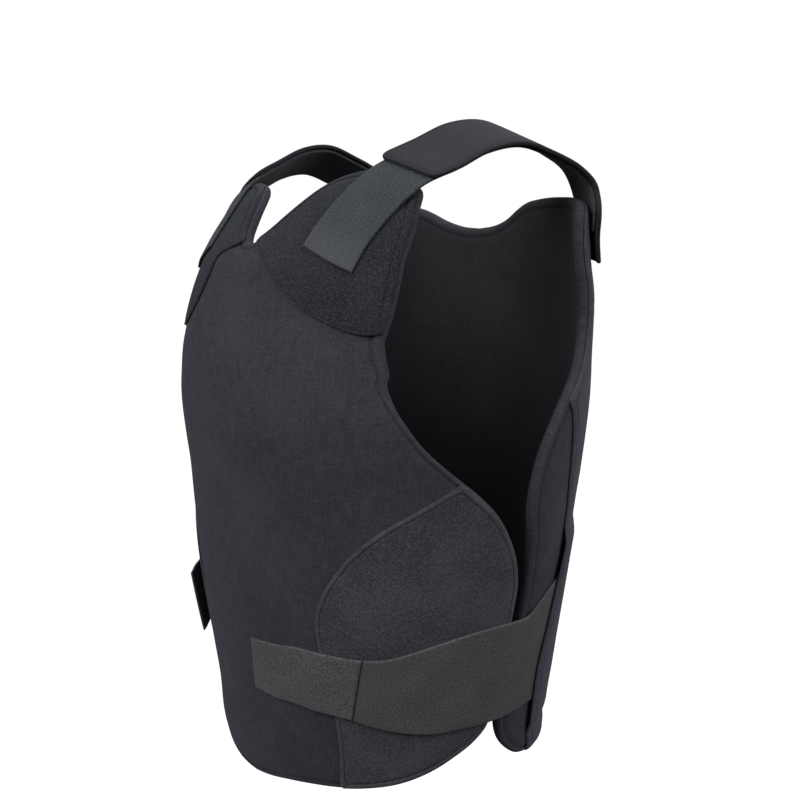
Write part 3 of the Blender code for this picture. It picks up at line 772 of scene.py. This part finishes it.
def elastic(name, dark, light, pitch, depth, worn=0.0):
    """Elastic webbing: an uneven cross rib under a fine grain, paler at a worn front end."""
    f = Finish(name)
    flat = f.cloth()
    along, across = f.parts(flat)
    drift = f.noise(f.stretched(flat, 0.12, 0.3), 1.0)
    ribs = (along + drift * 1.6).wave(pitch)
    cords = across.wave(1.1)
    grain = f.noise(f.stretched(flat, 1.15, 0.85), 1.0, 2.0, 0.8)
    clouds = f.noise(flat, 0.035)
    tone = ribs * (0.1 * depth) + cords * 0.03 + grain * 0.75 + clouds * 0.12
    colour = f.blend(f.band(tone, 0.36 + 0.05 * depth, 0.58 + 0.05 * depth), dark, light)
    colour = f.blend(f.band(along, 1.0, 26.0, worn, 0.0), colour, WORN_ELASTIC)
    # painted shade: darker where the seam attribute marks the joint with the hook tab
    colour = f.blend(f.seam() * 0.75, colour, times(dark, 0.2))
    height = ribs * depth * 0.5 + cords * 0.15 + grain * 0.9
    return f.surface(height, 0.0003, 0.9, Base_Color=colour, Roughness=0.9,
                     Specular_IOR_Level=0.15, Sheen_Weight=0.05, Sheen_Roughness=0.4)


def grainy_tab(name, dark, light):
    """Back of hook tape: small even pips."""
    f = Finish(name)
    flat = f.cloth()
    pips = f.node("TexVoronoi", None, Vector=flat, Scale=1.25, Randomness=0.85)
    grain = f.noise(flat, 1.5, 2.0, 0.8)
    clouds = f.noise(flat, 0.03)
    tone = grain * 0.65 + clouds * 0.1 + (1 - pips) * 0.25
    colour = f.blend(f.band(tone, 0.42, 0.64), dark, light)
    # painted shade: darker where the seam attribute marks the joint with the elastic
    colour = f.blend(f.seam() * 0.75, colour, times(dark, 0.2))
    return f.surface((1 - pips) * 0.7 + grain * 0.9, 0.00035, 1.0, Base_Color=colour,
                     Roughness=0.92, Specular_IOR_Level=0.15, Sheen_Weight=0.05)


def sewing_thread(name, colour):
    f = Finish(name)
    twist = f.noise(f.node("TexCoord", None, out="Object"), 4000.0, 1.0)
    return f.surface(twist, 0.0001, 0.6, Base_Color=f.blend(twist, colour, times(colour, 1.6)),
                     Roughness=0.8, Specular_IOR_Level=0.2)


WORN_ELASTIC = (0.098, 0.093, 0.108, 1.0)
CARRIER = woven_cloth("carrier_weave", 0.0242, 2.2, 0.37)
LINING = woven_cloth("lining_weave", 0.024, 1.2, 0.25, 1.3, 0.02)
COVER = woven_cloth("cover_weave", 0.034, 2.0, 0.38)
SHOULDER_LOOP = loop_cloth("shoulder_loop", 0.0104, 2.1, 0.047)
SIDE_LOOP = loop_cloth("side_loop", 0.027, 1.2, 0.074)
RIBBED = elastic("shoulder_elastic", (0.0187, 0.0215, 0.0245, 1.0),
                 (0.0445, 0.0495, 0.0575, 1.0), 1.3, 0.7, 0.16)
FLANK = elastic("side_elastic", (0.0285, 0.029, 0.0295, 1.0),
                (0.072, 0.0735, 0.076, 1.0), 1.7, 0.3)
TAB = grainy_tab("hook_tab", (0.0315, 0.032, 0.0335, 1.0), (0.101, 0.102, 0.108, 1.0))
PAD = woven_cloth("pad_cloth", 0.0225, 1.3, 0.12, 0.6, 0.04)
SEWING = sewing_thread("black_thread", (0.015, 0.0155, 0.018, 1.0))


# how the cloth lies over the inserts

LIE_PITCH = 5.0
LIE_STEP = 4.0
LIE_RINGS = (4.0, 8.0)
LIE_FRAMES = 20
LIE_HELD = 9.0
LIE_LOOSE = 0.06
LIE_SHARE = 0.75
LIE_MOST = 1.3
LIE_SUNK = 0.4
LIE_REACH = 4.0
LIE_NEAR = 10
LIE_ROUNDS = 3
PANEL_TOP = PANEL_EDGE[-1][2]
CLOTH_RULES = {"mass": 0.005, "bending_stiffness": 0.3, "vertex_group_mass": "held",
               "shrink_min": -0.004}


def settled(name, flat, triangles, place, held):
    """Simulated cloth, cut slightly too large for the padded form: each point's rise, in mm."""
    start = place(*flat.T, PANEL_TOP)
    out = place(*flat.T, PANEL_TOP + 1.0) - start
    piece = mesh_piece(name, start, triangles.tolist(), flat, [])
    group = piece.vertex_groups.new(name="held")
    group.add(np.where(held)[0].tolist(), 1.0, "REPLACE")
    group.add(np.where(~held)[0].tolist(), LIE_LOOSE, "REPLACE")
    cloth = piece.modifiers.new("cloth", "CLOTH")
    for key, value in CLOTH_RULES.items():
        setattr(cloth.settings, key, value)
    cloth.settings.effector_weights.gravity = 0.0
    cloth.collision_settings.use_collision = False
    for number in range(1, LIE_FRAMES + 1):
        bpy.context.scene.frame_set(number)
    bpy.context.view_layer.objects.active = piece
    bpy.ops.object.modifier_apply(modifier="cloth")
    end = np.array([v.co for v in piece.data.vertices]) / MM
    bpy.data.objects.remove(piece)
    bpy.context.scene.frame_set(1)
    rise = ((end - start) * out).sum(axis=1)
    links = np.vstack([triangles[:, [0, 1]], triangles[:, [1, 2]], triangles[:, [2, 0]]])
    links = np.unique(np.sort(links, axis=1), axis=0)
    near = np.bincount(links.ravel(), minlength=len(flat))
    for _ in range(LIE_ROUNDS):
        total = np.zeros(len(flat))
        np.add.at(total, links[:, 0], rise[links[:, 1]])
        np.add.at(total, links[:, 1], rise[links[:, 0]])
        rise = np.where(held, 0.0, 0.5 * rise + 0.5 * total / near)
    rise = LIE_MOST * np.tanh(LIE_SHARE * rise / LIE_MOST)
    return np.where(rise < 0, LIE_SUNK * rise, rise)


class Lie:
    """Rise and fall of a panel's outer cloth, held flat at its edge, at seams and under straps."""

    def __init__(self, name, loop, place, pressed, seams):
        self.flat, triangles, _ = cut_cloth(loop, LIE_RINGS, LIE_PITCH, LIE_STEP)
        self.rise = np.zeros(len(self.flat))
        held = distances(self.flat, loop) < LIE_HELD
        for outline in pressed:
            held |= lies_in(self.flat, outline)
        for line in seams:
            held |= distances(self.flat, line) < LIE_REACH
        self.rise = settled(name, self.flat, triangles, place, held)
        self.tree = flat_tree(self.flat)

    def at(self, flat, mirror=False):
        found = np.zeros(len(flat))
        for i, (u, z) in enumerate(flat * FLIP_U if mirror else flat):
            near = self.tree.find_n((u, z, 0.0), LIE_NEAR)
            weight = np.array([math.exp(-(gap / LIE_REACH) ** 2) for _, _, gap in near])
            found[i] = weight @ self.rise[[k for _, k, _ in near]] / weight.sum()
        return found


def footprint(rows, margin):
    """The flat outline that a side strap presses on, a little wider than the strap."""
    table = np.array([row[:4] for row in rows])
    upper = table[:, 0:2] + np.array([0.0, margin])
    lower = table[:, 2:4] - np.array([0.0, margin])
    for line in (upper, lower):
        line[0, 0] -= margin
        line[-1, 0] += margin
    return outline_of(np.vstack([upper, lower[::-1]]))


# padded panels

FRONT_EDGE = whole_loop(trimmed(smooth_line(FRONT_CUT)))
BACK_EDGE = whole_loop(smooth_line(BACK_CUT))
PANEL_RINGS = [row[0] for row in PANEL_EDGE[1:]]


def seam_spread(flat):
    """How much farther in the front's edge seam lies."""
    heights, shares = np.array(SEAM_SPREAD).T
    return np.where(np.abs(flat[:, 0]) > TRIM_FROM_U, through(heights, shares, flat[:, 1]), 1.0)


def no_spread(flat):
    return np.ones(len(flat))


def padded_panel(name, loop, place, lie, spread, rings):
    flat, triangles, edge = cut_cloth(loop, rings)
    depth = depth_in(flat, loop, edge, spread)
    top = place(*flat.T, by_distance(PANEL_EDGE, depth, 2) + lie.at(flat))
    low = place(*flat.T, by_distance(PANEL_EDGE, depth, 1))
    # the seam attribute paints shade in the edge's stitch groove, on both faces
    piece = close_layers(name + "_cloth", flat, triangles, np.arange(edge), top, low,
                         [CARRIER, LINING], groove(depth, SEAM_AT, SEAM_REACH))
    return dress(piece, name)


# sewn-on cloth

PATCH_RINGS = [row[0] for row in PATCH_EDGE[1:]]
GROOVE_RINGS = (4.1, 4.7, 5.3)


def seam_pull(seam, share):
    """How near its edge a front patch is stitched: less than elsewhere along its own seam."""
    line = smooth_line(seam)

    def spread(flat):
        lead = distances(flat, FRONT_EDGE) - PATCH_INSET - distances(flat, line)
        return 1 + (share - 1) * eased(0.5 + lead / SEAM_CHANGE)
    return spread


def run_between(loop, start, end):
    """The shorter way round a closed loop between the points nearest to two ends."""
    a, b = (int(np.linalg.norm(loop - point, axis=1).argmin()) for point in (start, end))
    ahead = np.roll(loop, -a, axis=0)[:(b - a) % len(loop) + 1]
    back = np.roll(loop, -b, axis=0)[:(a - b) % len(loop) + 1][::-1]
    return min(ahead, back, key=len)


def patch_outline(seam):
    """From a seam across the front, round the front's edge and back to the seam."""
    moved, good = moved_in(FRONT_EDGE, PATCH_INSET)
    seam = smooth_line(seam)
    along = run_between(moved[good], seam[-1], seam[0])
    return outline_of(np.vstack([seam, along[1:-1]]))


def cover_outline():
    """The back cover: the panel's rim above and below, and a seam down each side."""
    moved, good = moved_in(BACK_EDGE, PATCH_INSET)
    rim = moved[good]
    seam = smooth_line(COVER_SEAM)
    above = run_between(rim, middle_of(rim, rim[:, 1] > HALF_WAY_UP), seam[0])
    below = run_between(rim, seam[-1], middle_of(rim, rim[:, 1] < HALF_WAY_UP))
    half = np.vstack([above[:-1], seam, below[1:]])
    half[[0, -1], 0] = 0.0
    return anticlockwise(even(whole_loop(half)))


def middle_of(rim, wanted):
    """The wanted point of a rim that lies nearest to the centre line."""
    return rim[int(np.where(wanted, np.abs(rim[:, 0]), np.inf).argmin())]


def cover_lift(flat):
    """How far the cover rises over the strap ends beneath it."""
    ahead = (np.abs(flat[:, 0]) - LIFT_U) / LIFT_RAMP
    low = (flat[:, 1] - LIFT_LOW) / LIFT_RAMP
    high = (LIFT_HIGH - flat[:, 1]) / LIFT_RAMP
    return LIFT * eased(np.minimum(ahead, np.minimum(low, high)))


def no_lift(flat):
    return 0.0


class Patch:
    """Cloth sewn on a panel: its outline there, and how its seam's distance varies."""

    def __init__(self, loop, panel_edge, place, lie, lift=no_lift, mirror=False,
                 spread=no_spread, share=1.0):
        self.loop, self.panel_edge, self.place, self.lie = loop, panel_edge, place, lie
        self.lift, self.mirror, self.spread = lift, mirror, spread
        self.rings = sorted({*PATCH_RINGS, *(share * ring for ring in GROOVE_RINGS)})

    def bed(self, flat):
        """How far what lies beneath it stands off the body."""
        bed = by_distance(BED, distances(flat, self.panel_edge)) + BED_GAP
        return bed + self.lie.at(flat, self.mirror) + self.lift(flat)

    def lay(self, name, node, finish, band_light=0.0):
        flat, triangles, edge = cut_cloth(self.loop, self.rings)
        inward = depth_in(flat, self.loop, edge, self.spread)
        bed = self.bed(flat)
        top = self.place(*flat.T, bed + by_distance(PATCH_EDGE, inward))
        low = self.place(*flat.T, bed + PATCH_LIP * (1 - rounded(inward, 1.0)))
        # painted shade in the stitch groove; a side patch's band before it is made paler
        band = (inward > BAND_FROM) * (inward < BAND_TO)
        seam = groove(inward, PATCH_SEAM_AT, PATCH_SEAM_REACH) - band_light * band
        piece = close_layers(name, flat, triangles, np.arange(edge), top, low, [finish], seam,
                             self.mirror)
        laid = area_of(top, triangles)
        width, length = np.ptp(flat, axis=0) * [laid / area_of(flat, triangles), 1.0] * MM
        return dress(piece, node)

    def sew(self, name):
        line, good = moved_in(self.loop, PATCH_SEAM_AT * self.spread(self.loop))
        depth = by_distance(PATCH_EDGE, PATCH_SEAM_AT)
        sew(name, line, good, self.place, lambda flat: self.bed(flat) + depth, self.mirror)


# straps

def end_steps(length, inner, third=0.8):
    """Inner steps along a length, with closer ones for the round at either end."""
    ends = np.array([0.0, 0.3, third])
    return np.concatenate([ends, inner, length - ends[::-1]])


def long_steps(length, step):
    return end_steps(length, np.arange(1.5, length - 1.2, step))


def band_form(at, width, thick):
    """A band's flat grid, each point's distance to its edge, and half its thickness there."""
    across = end_steps(width, np.linspace(2.0, width - 2.0, BAND_COLUMNS), 0.9)
    to_side = np.minimum(across, width - across)[None]
    to_edge = np.minimum(to_side, np.minimum(at, at[-1] - at)[:, None])
    half = 0.5 * thick * (BAND_LIP + (1 - BAND_LIP) * rounded(to_edge, BAND_ROUND))
    return np.stack(np.broadcast_arrays(at[:, None], across[None]), axis=2), to_edge, half


def side_strip(name, node, rows, thick, finish, mirror, step, joined_at_end):
    """A band round the flank."""
    table = np.array(rows)
    run = run_of(table[:, :2])
    at = long_steps(run[-1], step)
    table = through(run, table, at)
    width = float(np.linalg.norm(table[:, 0:2] - table[:, 2:4], axis=1).mean())
    flat, _, half = band_form(at, width, thick)
    share = flat[..., 1] / width
    girth, z, off = (table[:, [i]] + (table[:, [j]] - table[:, [i]]) * share
                     for i, j in ((0, 2), (1, 3), (4, -1)))
    top, low = (on_front(girth.ravel(), z.ravel(), (off + 0.5 * thick + h).ravel())
                .reshape(share.shape + (3,)) for h in (half, -half))
    # the seam attribute paints shade within 1 mm of the joint between strap and tab
    from_joint = at[-1] - flat[..., 0] if joined_at_end else flat[..., 0]
    piece = close_band(name, top, low, flat, finish, mirror, np.clip(1.0 - from_joint, 0.0, 1.0))
    return dress(piece, node)


def shoulder_line(share):
    """Space curve along the strap's underside, at a share of its width from the neck side."""
    a, b, c, d = np.array(CHEST_STATIONS).T
    chest = on_front(a + (c - a) * share, b + (d - b) * share, CHEST_STAND_OFF)
    *middle, roll, yaw = np.array(SHOULDER_ARC).T
    width = [np.cos(roll) * np.cos(yaw), -np.cos(roll) * np.sin(yaw), -np.sin(roll)]
    arc = np.array(middle) + np.array(width) * ELASTIC_WIDTH * (share - 0.5)
    a, b, c, d, off = np.array(BACK_STATIONS).T
    return np.vstack([chest, arc.T, on_back(a + (c - a) * share, b + (d - b) * share, off)])


KNOWN_SHARES = np.array([0.0, 1.0 / 3, 2.0 / 3, 1.0])


def shoulder_grid(shares, stations):
    """Points of the strap's underside and its normals, at station numbers and width shares."""
    lines = [shoulder_line(v) for v in KNOWN_SHARES]
    run = run_of(0.5 * (lines[1] + lines[2]))
    at = stations / STATIONS * run[-1]
    reach = 0.5
    known, ahead, behind = (np.stack([through(run, line, at + d) for line in lines], axis=1)
                            for d in (0.0, reach, -reach))
    up = unit(np.cross(ahead - behind, np.gradient(known, axis=1)))
    if up[len(up) // 2, 1, 2] < 0:
        up = -up
    points, normals = (np.array([through(KNOWN_SHARES, row, share) for row, share in
                                 zip(rows, shares)]) for rows in (known, up))
    beyond = (shares - np.clip(shares, 0.0, 1.0))[..., None]
    edge = np.where(beyond > 0, known[:, 3:] - known[:, 2:3], known[:, 1:2] - known[:, :1]) * 3
    return points + edge * beyond, unit(normals)


def shoulder_elastic(side, mirror):
    at = long_steps(ELASTIC_END * STATION_STEP, RIB_STEP)
    flat, to_edge, half = band_form(at, ELASTIC_WIDTH, ELASTIC_THICK)
    points, up = shoulder_grid(flat[..., 1] / ELASTIC_WIDTH, at / STATION_STEP)
    rib = RIB_HIGH * np.sin(2 * math.pi * at / RIB_PITCH)[:, None] * rounded(to_edge, 2.0)
    middle = points + up * 0.5 * ELASTIC_THICK
    piece = close_band("shoulder_elastic_" + side, middle + up * (half + rib)[..., None],
                       middle - up * half[..., None], flat, RIBBED, mirror, 0 * half)
    return dress(piece, "shoulder_strap_" + side)


def shoulder_pad(side, mirror):
    length = STATIONS * STATION_STEP - PAD_FRONT
    reach, thick = np.array(PAD_RIM).T
    rim, far_rim = reach[:-1], reach[-2::-1]
    at = np.concatenate([rim, [4.4, 5.6, 7.2], np.arange(9.0, length - 5.0, 2.2),
                         length - far_rim])
    rel = np.concatenate([rim, np.linspace(5.4, PAD_WIDTH - 5.4, 14), PAD_WIDTH - far_rim])
    short = np.clip(PAD_CORNER - at, 0.0, None)
    bite = PAD_CORNER - np.sqrt(np.clip(PAD_CORNER**2 - short**2, 0.0, None))
    across = (rel[None] / PAD_WIDTH - 0.5) * (PAD_WIDTH - 2 * bite[:, None])
    place = (PAD_FRONT + at)[:, None]
    points, up = shoulder_grid(0.5 + across / ELASTIC_WIDTH, place[:, 0] / STATION_STEP)
    side_gap = 0.5 * PAD_WIDTH - bite[:, None] - np.abs(across)
    to_edge = np.minimum(side_gap, np.minimum(at, length - at)[:, None])
    thick = np.interp(to_edge, reach, thick)[..., None]
    middle = points + up * (ELASTIC_THICK + PAD_GAP + 0.5 * PAD_THICK)
    half = 0.5 * np.minimum(thick, PAD_THICK)
    crown = np.maximum(thick - PAD_THICK, 0.0)
    flat = np.stack(np.broadcast_arrays(across, place), axis=2)
    # painted shade in the rim's stitch groove and along the pad's edge
    seam = np.maximum(groove(to_edge, PAD_SEAM_AT, 0.9), groove(to_edge, 0.0, 1.1))
    piece = close_band("shoulder_pad_cloth_" + side, middle + up * (half + crown),
                       middle - up * half, flat, PAD, mirror, seam)
    return dress(piece, "shoulder_pad_" + side)


# stitches

STITCH_PITCH = 3.3
STITCH_LONG = 1.2
STITCH_WIDE = 0.26
STITCH_HIGH = 0.2
LEAST_RUN = 12


def stitch_shape():
    """One stitch, as points along its width, height and length, and its faces."""
    bpy.ops.object.select_all(action="DESELECT")
    bpy.ops.mesh.primitive_uv_sphere_add(segments=6, ring_count=5, radius=1.0)
    ball = bpy.context.object
    points = np.array([v.co for v in ball.data.vertices])
    faces = [list(p.vertices) for p in ball.data.polygons]
    bpy.data.objects.remove(ball)
    return points * np.array([STITCH_WIDE, STITCH_HIGH, STITCH_LONG]), faces


def good_runs(line, good):
    """The unbroken stretches of a closed line."""
    first = int(np.argmin(good))
    good = np.roll(good, -first)
    cuts = np.flatnonzero(good[1:] != good[:-1]) + 1
    runs = zip(np.split(np.roll(line, -first, axis=0), cuts), np.split(good, cuts))
    return [run for run, ok in runs if ok[0] and len(run) > LEAST_RUN]


def sew(name, seam, good, place, stand_off, mirror=False, inside=False):
    """Stitches along the good stretches of a closed seam, as one piece."""
    shape, shape_faces = stitch_shape()
    points = []
    for flat in good_runs(seam, good):
        off = stand_off(flat)
        line = place(*flat.T, off)
        out = (place(*flat.T, off + 1.0) - line) * (-1 if inside else 1)
        run = run_of(line)
        at = np.arange(0.6 * STITCH_PITCH, run[-1] - 0.5 * STITCH_PITCH, STITCH_PITCH)
        behind, middle, ahead = (sampled(run, line, at + d) for d in (-1.0, 0.0, 1.0))
        along = unit(ahead - behind)
        across = unit(np.cross(along, sampled(run, out, at)))
        frame = np.stack([across, np.cross(across, along), along], axis=1)
        points.append((middle[:, None] + shape @ frame).reshape(-1, 3))
    points = np.vstack(points)
    faces = [[base + i for i in face] for base in range(0, len(points), len(shape))
             for face in shape_faces]
    if mirror:
        points = points * FLIP_X
        faces = [face[::-1] for face in faces]
    piece = mesh_piece(name, points, faces, np.zeros((len(points), 2)), [SEWING])
    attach(piece, "root")


def sew_panel(name, loop, place, lie, spread, covers):
    """Seams round a panel: outside where nothing covers it, and all round on its inner face."""
    line, good = moved_in(loop, SEAM_AT * spread(loop))
    bare = good.copy()
    for cover in covers:
        bare &= ~lies_in(line, cover)
    groove_low, groove_top = (by_distance(PANEL_EDGE, SEAM_AT, column) for column in (1, 2))
    sew(name + "_edge_stitches", line, bare, place, lambda flat: groove_top + lie.at(flat))
    sew(name + "_inner_stitches", line, good, place, lambda flat: groove_low, inside=True)


# the vest

SIDES = (("left", False), ("right", True))
CHEST_PRINT = outline_of([(52, -88), (66, -32), (120, -42), (104, -102)])
STRAP_END_PRINT = outline_of([(86, -410), (210, -410), (210, -248), (86, -248)])
PAD_END_PRINT = outline_of([(88, -100), (148, -100), (148, -40), (88, -40)])

shoulder_cuts = [patch_outline(SHOULDER_SEAM), patch_outline(RIGHT_SHOULDER_SEAM)]
shoulder_pulls = [seam_pull(SHOULDER_SEAM, SHOULDER_SEAM_SHARE),
                  seam_pull(RIGHT_SHOULDER_SEAM, SHOULDER_SEAM_SHARE)]
side_cut = patch_outline(SIDE_SEAM)
side_pull = seam_pull(SIDE_SEAM, SIDE_SEAM_SHARE)
cover_cut = cover_outline()
front_covers = [shoulder_cuts[0], turned(shoulder_cuts[1]), *both_sides(side_cut)]
side_prints = [footprint(SIDE_TAB + SIDE_STRAP[:7], 6.0),
               turned(footprint(RIGHT_TAB[3:] + RIGHT_STRAP[:5], 9.0))]
front_lie = Lie("front_lie", FRONT_EDGE, on_front_panel, side_prints + both_sides(CHEST_PRINT),
                front_covers)
back_lie = Lie("back_lie", BACK_EDGE, on_back,
               both_sides(STRAP_END_PRINT) + both_sides(PAD_END_PRINT), [cover_cut])
front = padded_panel("front_panel", FRONT_EDGE, on_front_panel, front_lie, seam_spread,
                     sorted(PANEL_RINGS + list(SPREAD_RINGS)))
back = padded_panel("back_panel", BACK_EDGE, on_back, back_lie, no_spread, PANEL_RINGS)
patches = []
for side, mirror in SIDES:
    on_patch = on_right_patch if mirror else on_front_panel
    shoulder_patch = Patch(shoulder_cuts[mirror], FRONT_EDGE, on_patch, front_lie, no_lift,
                           mirror, shoulder_pulls[mirror], SHOULDER_SEAM_SHARE)
    side_patch = Patch(side_cut, FRONT_EDGE, on_patch, front_lie, no_lift,
                       mirror, side_pull, SIDE_SEAM_SHARE)
    shoulder_patch.lay("shoulder_loop_" + side, "shoulder_patch_" + side,
                       SHOULDER_LOOP)
    side_patch.lay("side_loop_" + side, "side_patch_" + side, SIDE_LOOP, 1.0)
    patches += [("shoulder_loop_stitches_" + side, shoulder_patch),
                ("side_loop_stitches_" + side, side_patch)]
    strap, tab = (RIGHT_STRAP, RIGHT_TAB) if mirror else (SIDE_STRAP, SIDE_TAB)
    side_strip("side_elastic_" + side, "side_strap_" + side, strap,
               ELASTIC_THICK, FLANK, mirror, 1.3, False)
    side_strip("side_hook_" + side, "side_tab_" + side, tab, TAB_THICK, TAB,
               mirror, 2.0, True)
    shoulder_elastic(side, mirror)
    shoulder_pad(side, mirror)
cover = Patch(cover_cut, BACK_EDGE, on_back, back_lie, cover_lift)
cover.lay("back_cover_cloth", "back_cover", COVER)
sew_panel("front", FRONT_EDGE, on_front_panel, front_lie, seam_spread, front_covers)
sew_panel("back", BACK_EDGE, on_back, back_lie, no_spread, [cover_cut])
for name, patch in patches + [("cover_stitches", cover)]:
    patch.sew(name)


# studio

FLOOR_DROP = 1.35
FLOOR_REACH = 30.0
# the sky's light for all but the camera, from below the horizon to well above it
SKY_FROM, SKY_TO, SKY_LOW, SKY_HIGH = -0.8, 0.8, 0.06, 0.38
# what the lamps point at; then each lamp's place, width and power
LIT = (0.0, 0.0, -0.2)
LAMPS = {
    "key": ((0.15, -1.2, 0.6), 1.0, 23.5),
    "fill": ((1.5, 0.3, 0.75), 1.4, 26.0),
    "rear": ((0.2, 1.6, 0.6), 1.4, 14.0),
}
CAMERA_LENS, CAMERA_SENSOR = 39.28, 36.0
CAMERA_PLACE = (0.5131, -0.3795, -0.0771)
CAMERA_DOWN, CAMERA_TURN = 9.72, 51.89

bpy.ops.object.select_all(action="DESELECT")
bpy.ops.mesh.primitive_circle_add(vertices=64, radius=FLOOR_REACH, fill_type="NGON",
                                  location=(0.0, 0.0, -FLOOR_DROP))
floor = bpy.context.object
floor.name = "studio_floor"
# plain white where it is seen, and a weak bounce for the rest of the light
pale = Finish("pale_floor")
seen = pale.node("LightPath", None, out="Is Camera Ray")
floor.data.materials.append(pale.surface(Base_Color=(0.1, 0.1, 0.1, 1.0), Roughness=0.9,
                                         Emission_Color=seen * 0.98 + 0.02,
                                         Emission_Strength=1.0))

world = bpy.data.worlds.new("studio")
world.use_nodes = True
web = Web(world.node_tree)
height = web.node("SeparateXYZ", None, web.node("TexCoord", None, out="Generated"), out="Z")
glow = web.node("MapRange", None, height, SKY_FROM, SKY_TO, SKY_LOW, SKY_HIGH)
glow = glow.math("MAXIMUM", web.node("LightPath", None, out="Is Camera Ray"))
sky = world.node_tree.nodes["Background"]
web.feed(sky.inputs["Color"], (1.0, 1.0, 1.0, 1.0))
web.feed(sky.inputs["Strength"], glow)
bpy.context.scene.world = world
bpy.context.scene.view_settings.view_transform = "Standard"

for name, (place, size, watts) in LAMPS.items():
    lamp = bpy.data.lights.new(name, "AREA")
    lamp.shape = "DISK"
    lamp.size = size
    lamp.energy = watts
    holder = bpy.data.objects.new(name, lamp)
    bpy.context.scene.collection.objects.link(holder)
    holder.location = place
    x, y, z = np.array(LIT) - place
    holder.rotation_euler = (math.atan2(math.hypot(x, y), -z), 0.0,
                             math.atan2(y, x) - math.pi / 2)

camera = bpy.data.cameras.new("camera")
camera.lens = CAMERA_LENS
camera.sensor_width = CAMERA_SENSOR
viewer = bpy.data.objects.new("camera", camera)
bpy.context.scene.collection.objects.link(viewer)
viewer.location = CAMERA_PLACE
viewer.rotation_euler = (math.radians(90.0 - CAMERA_DOWN), 0.0, math.radians(CAMERA_TURN))
bpy.context.scene.camera = viewer
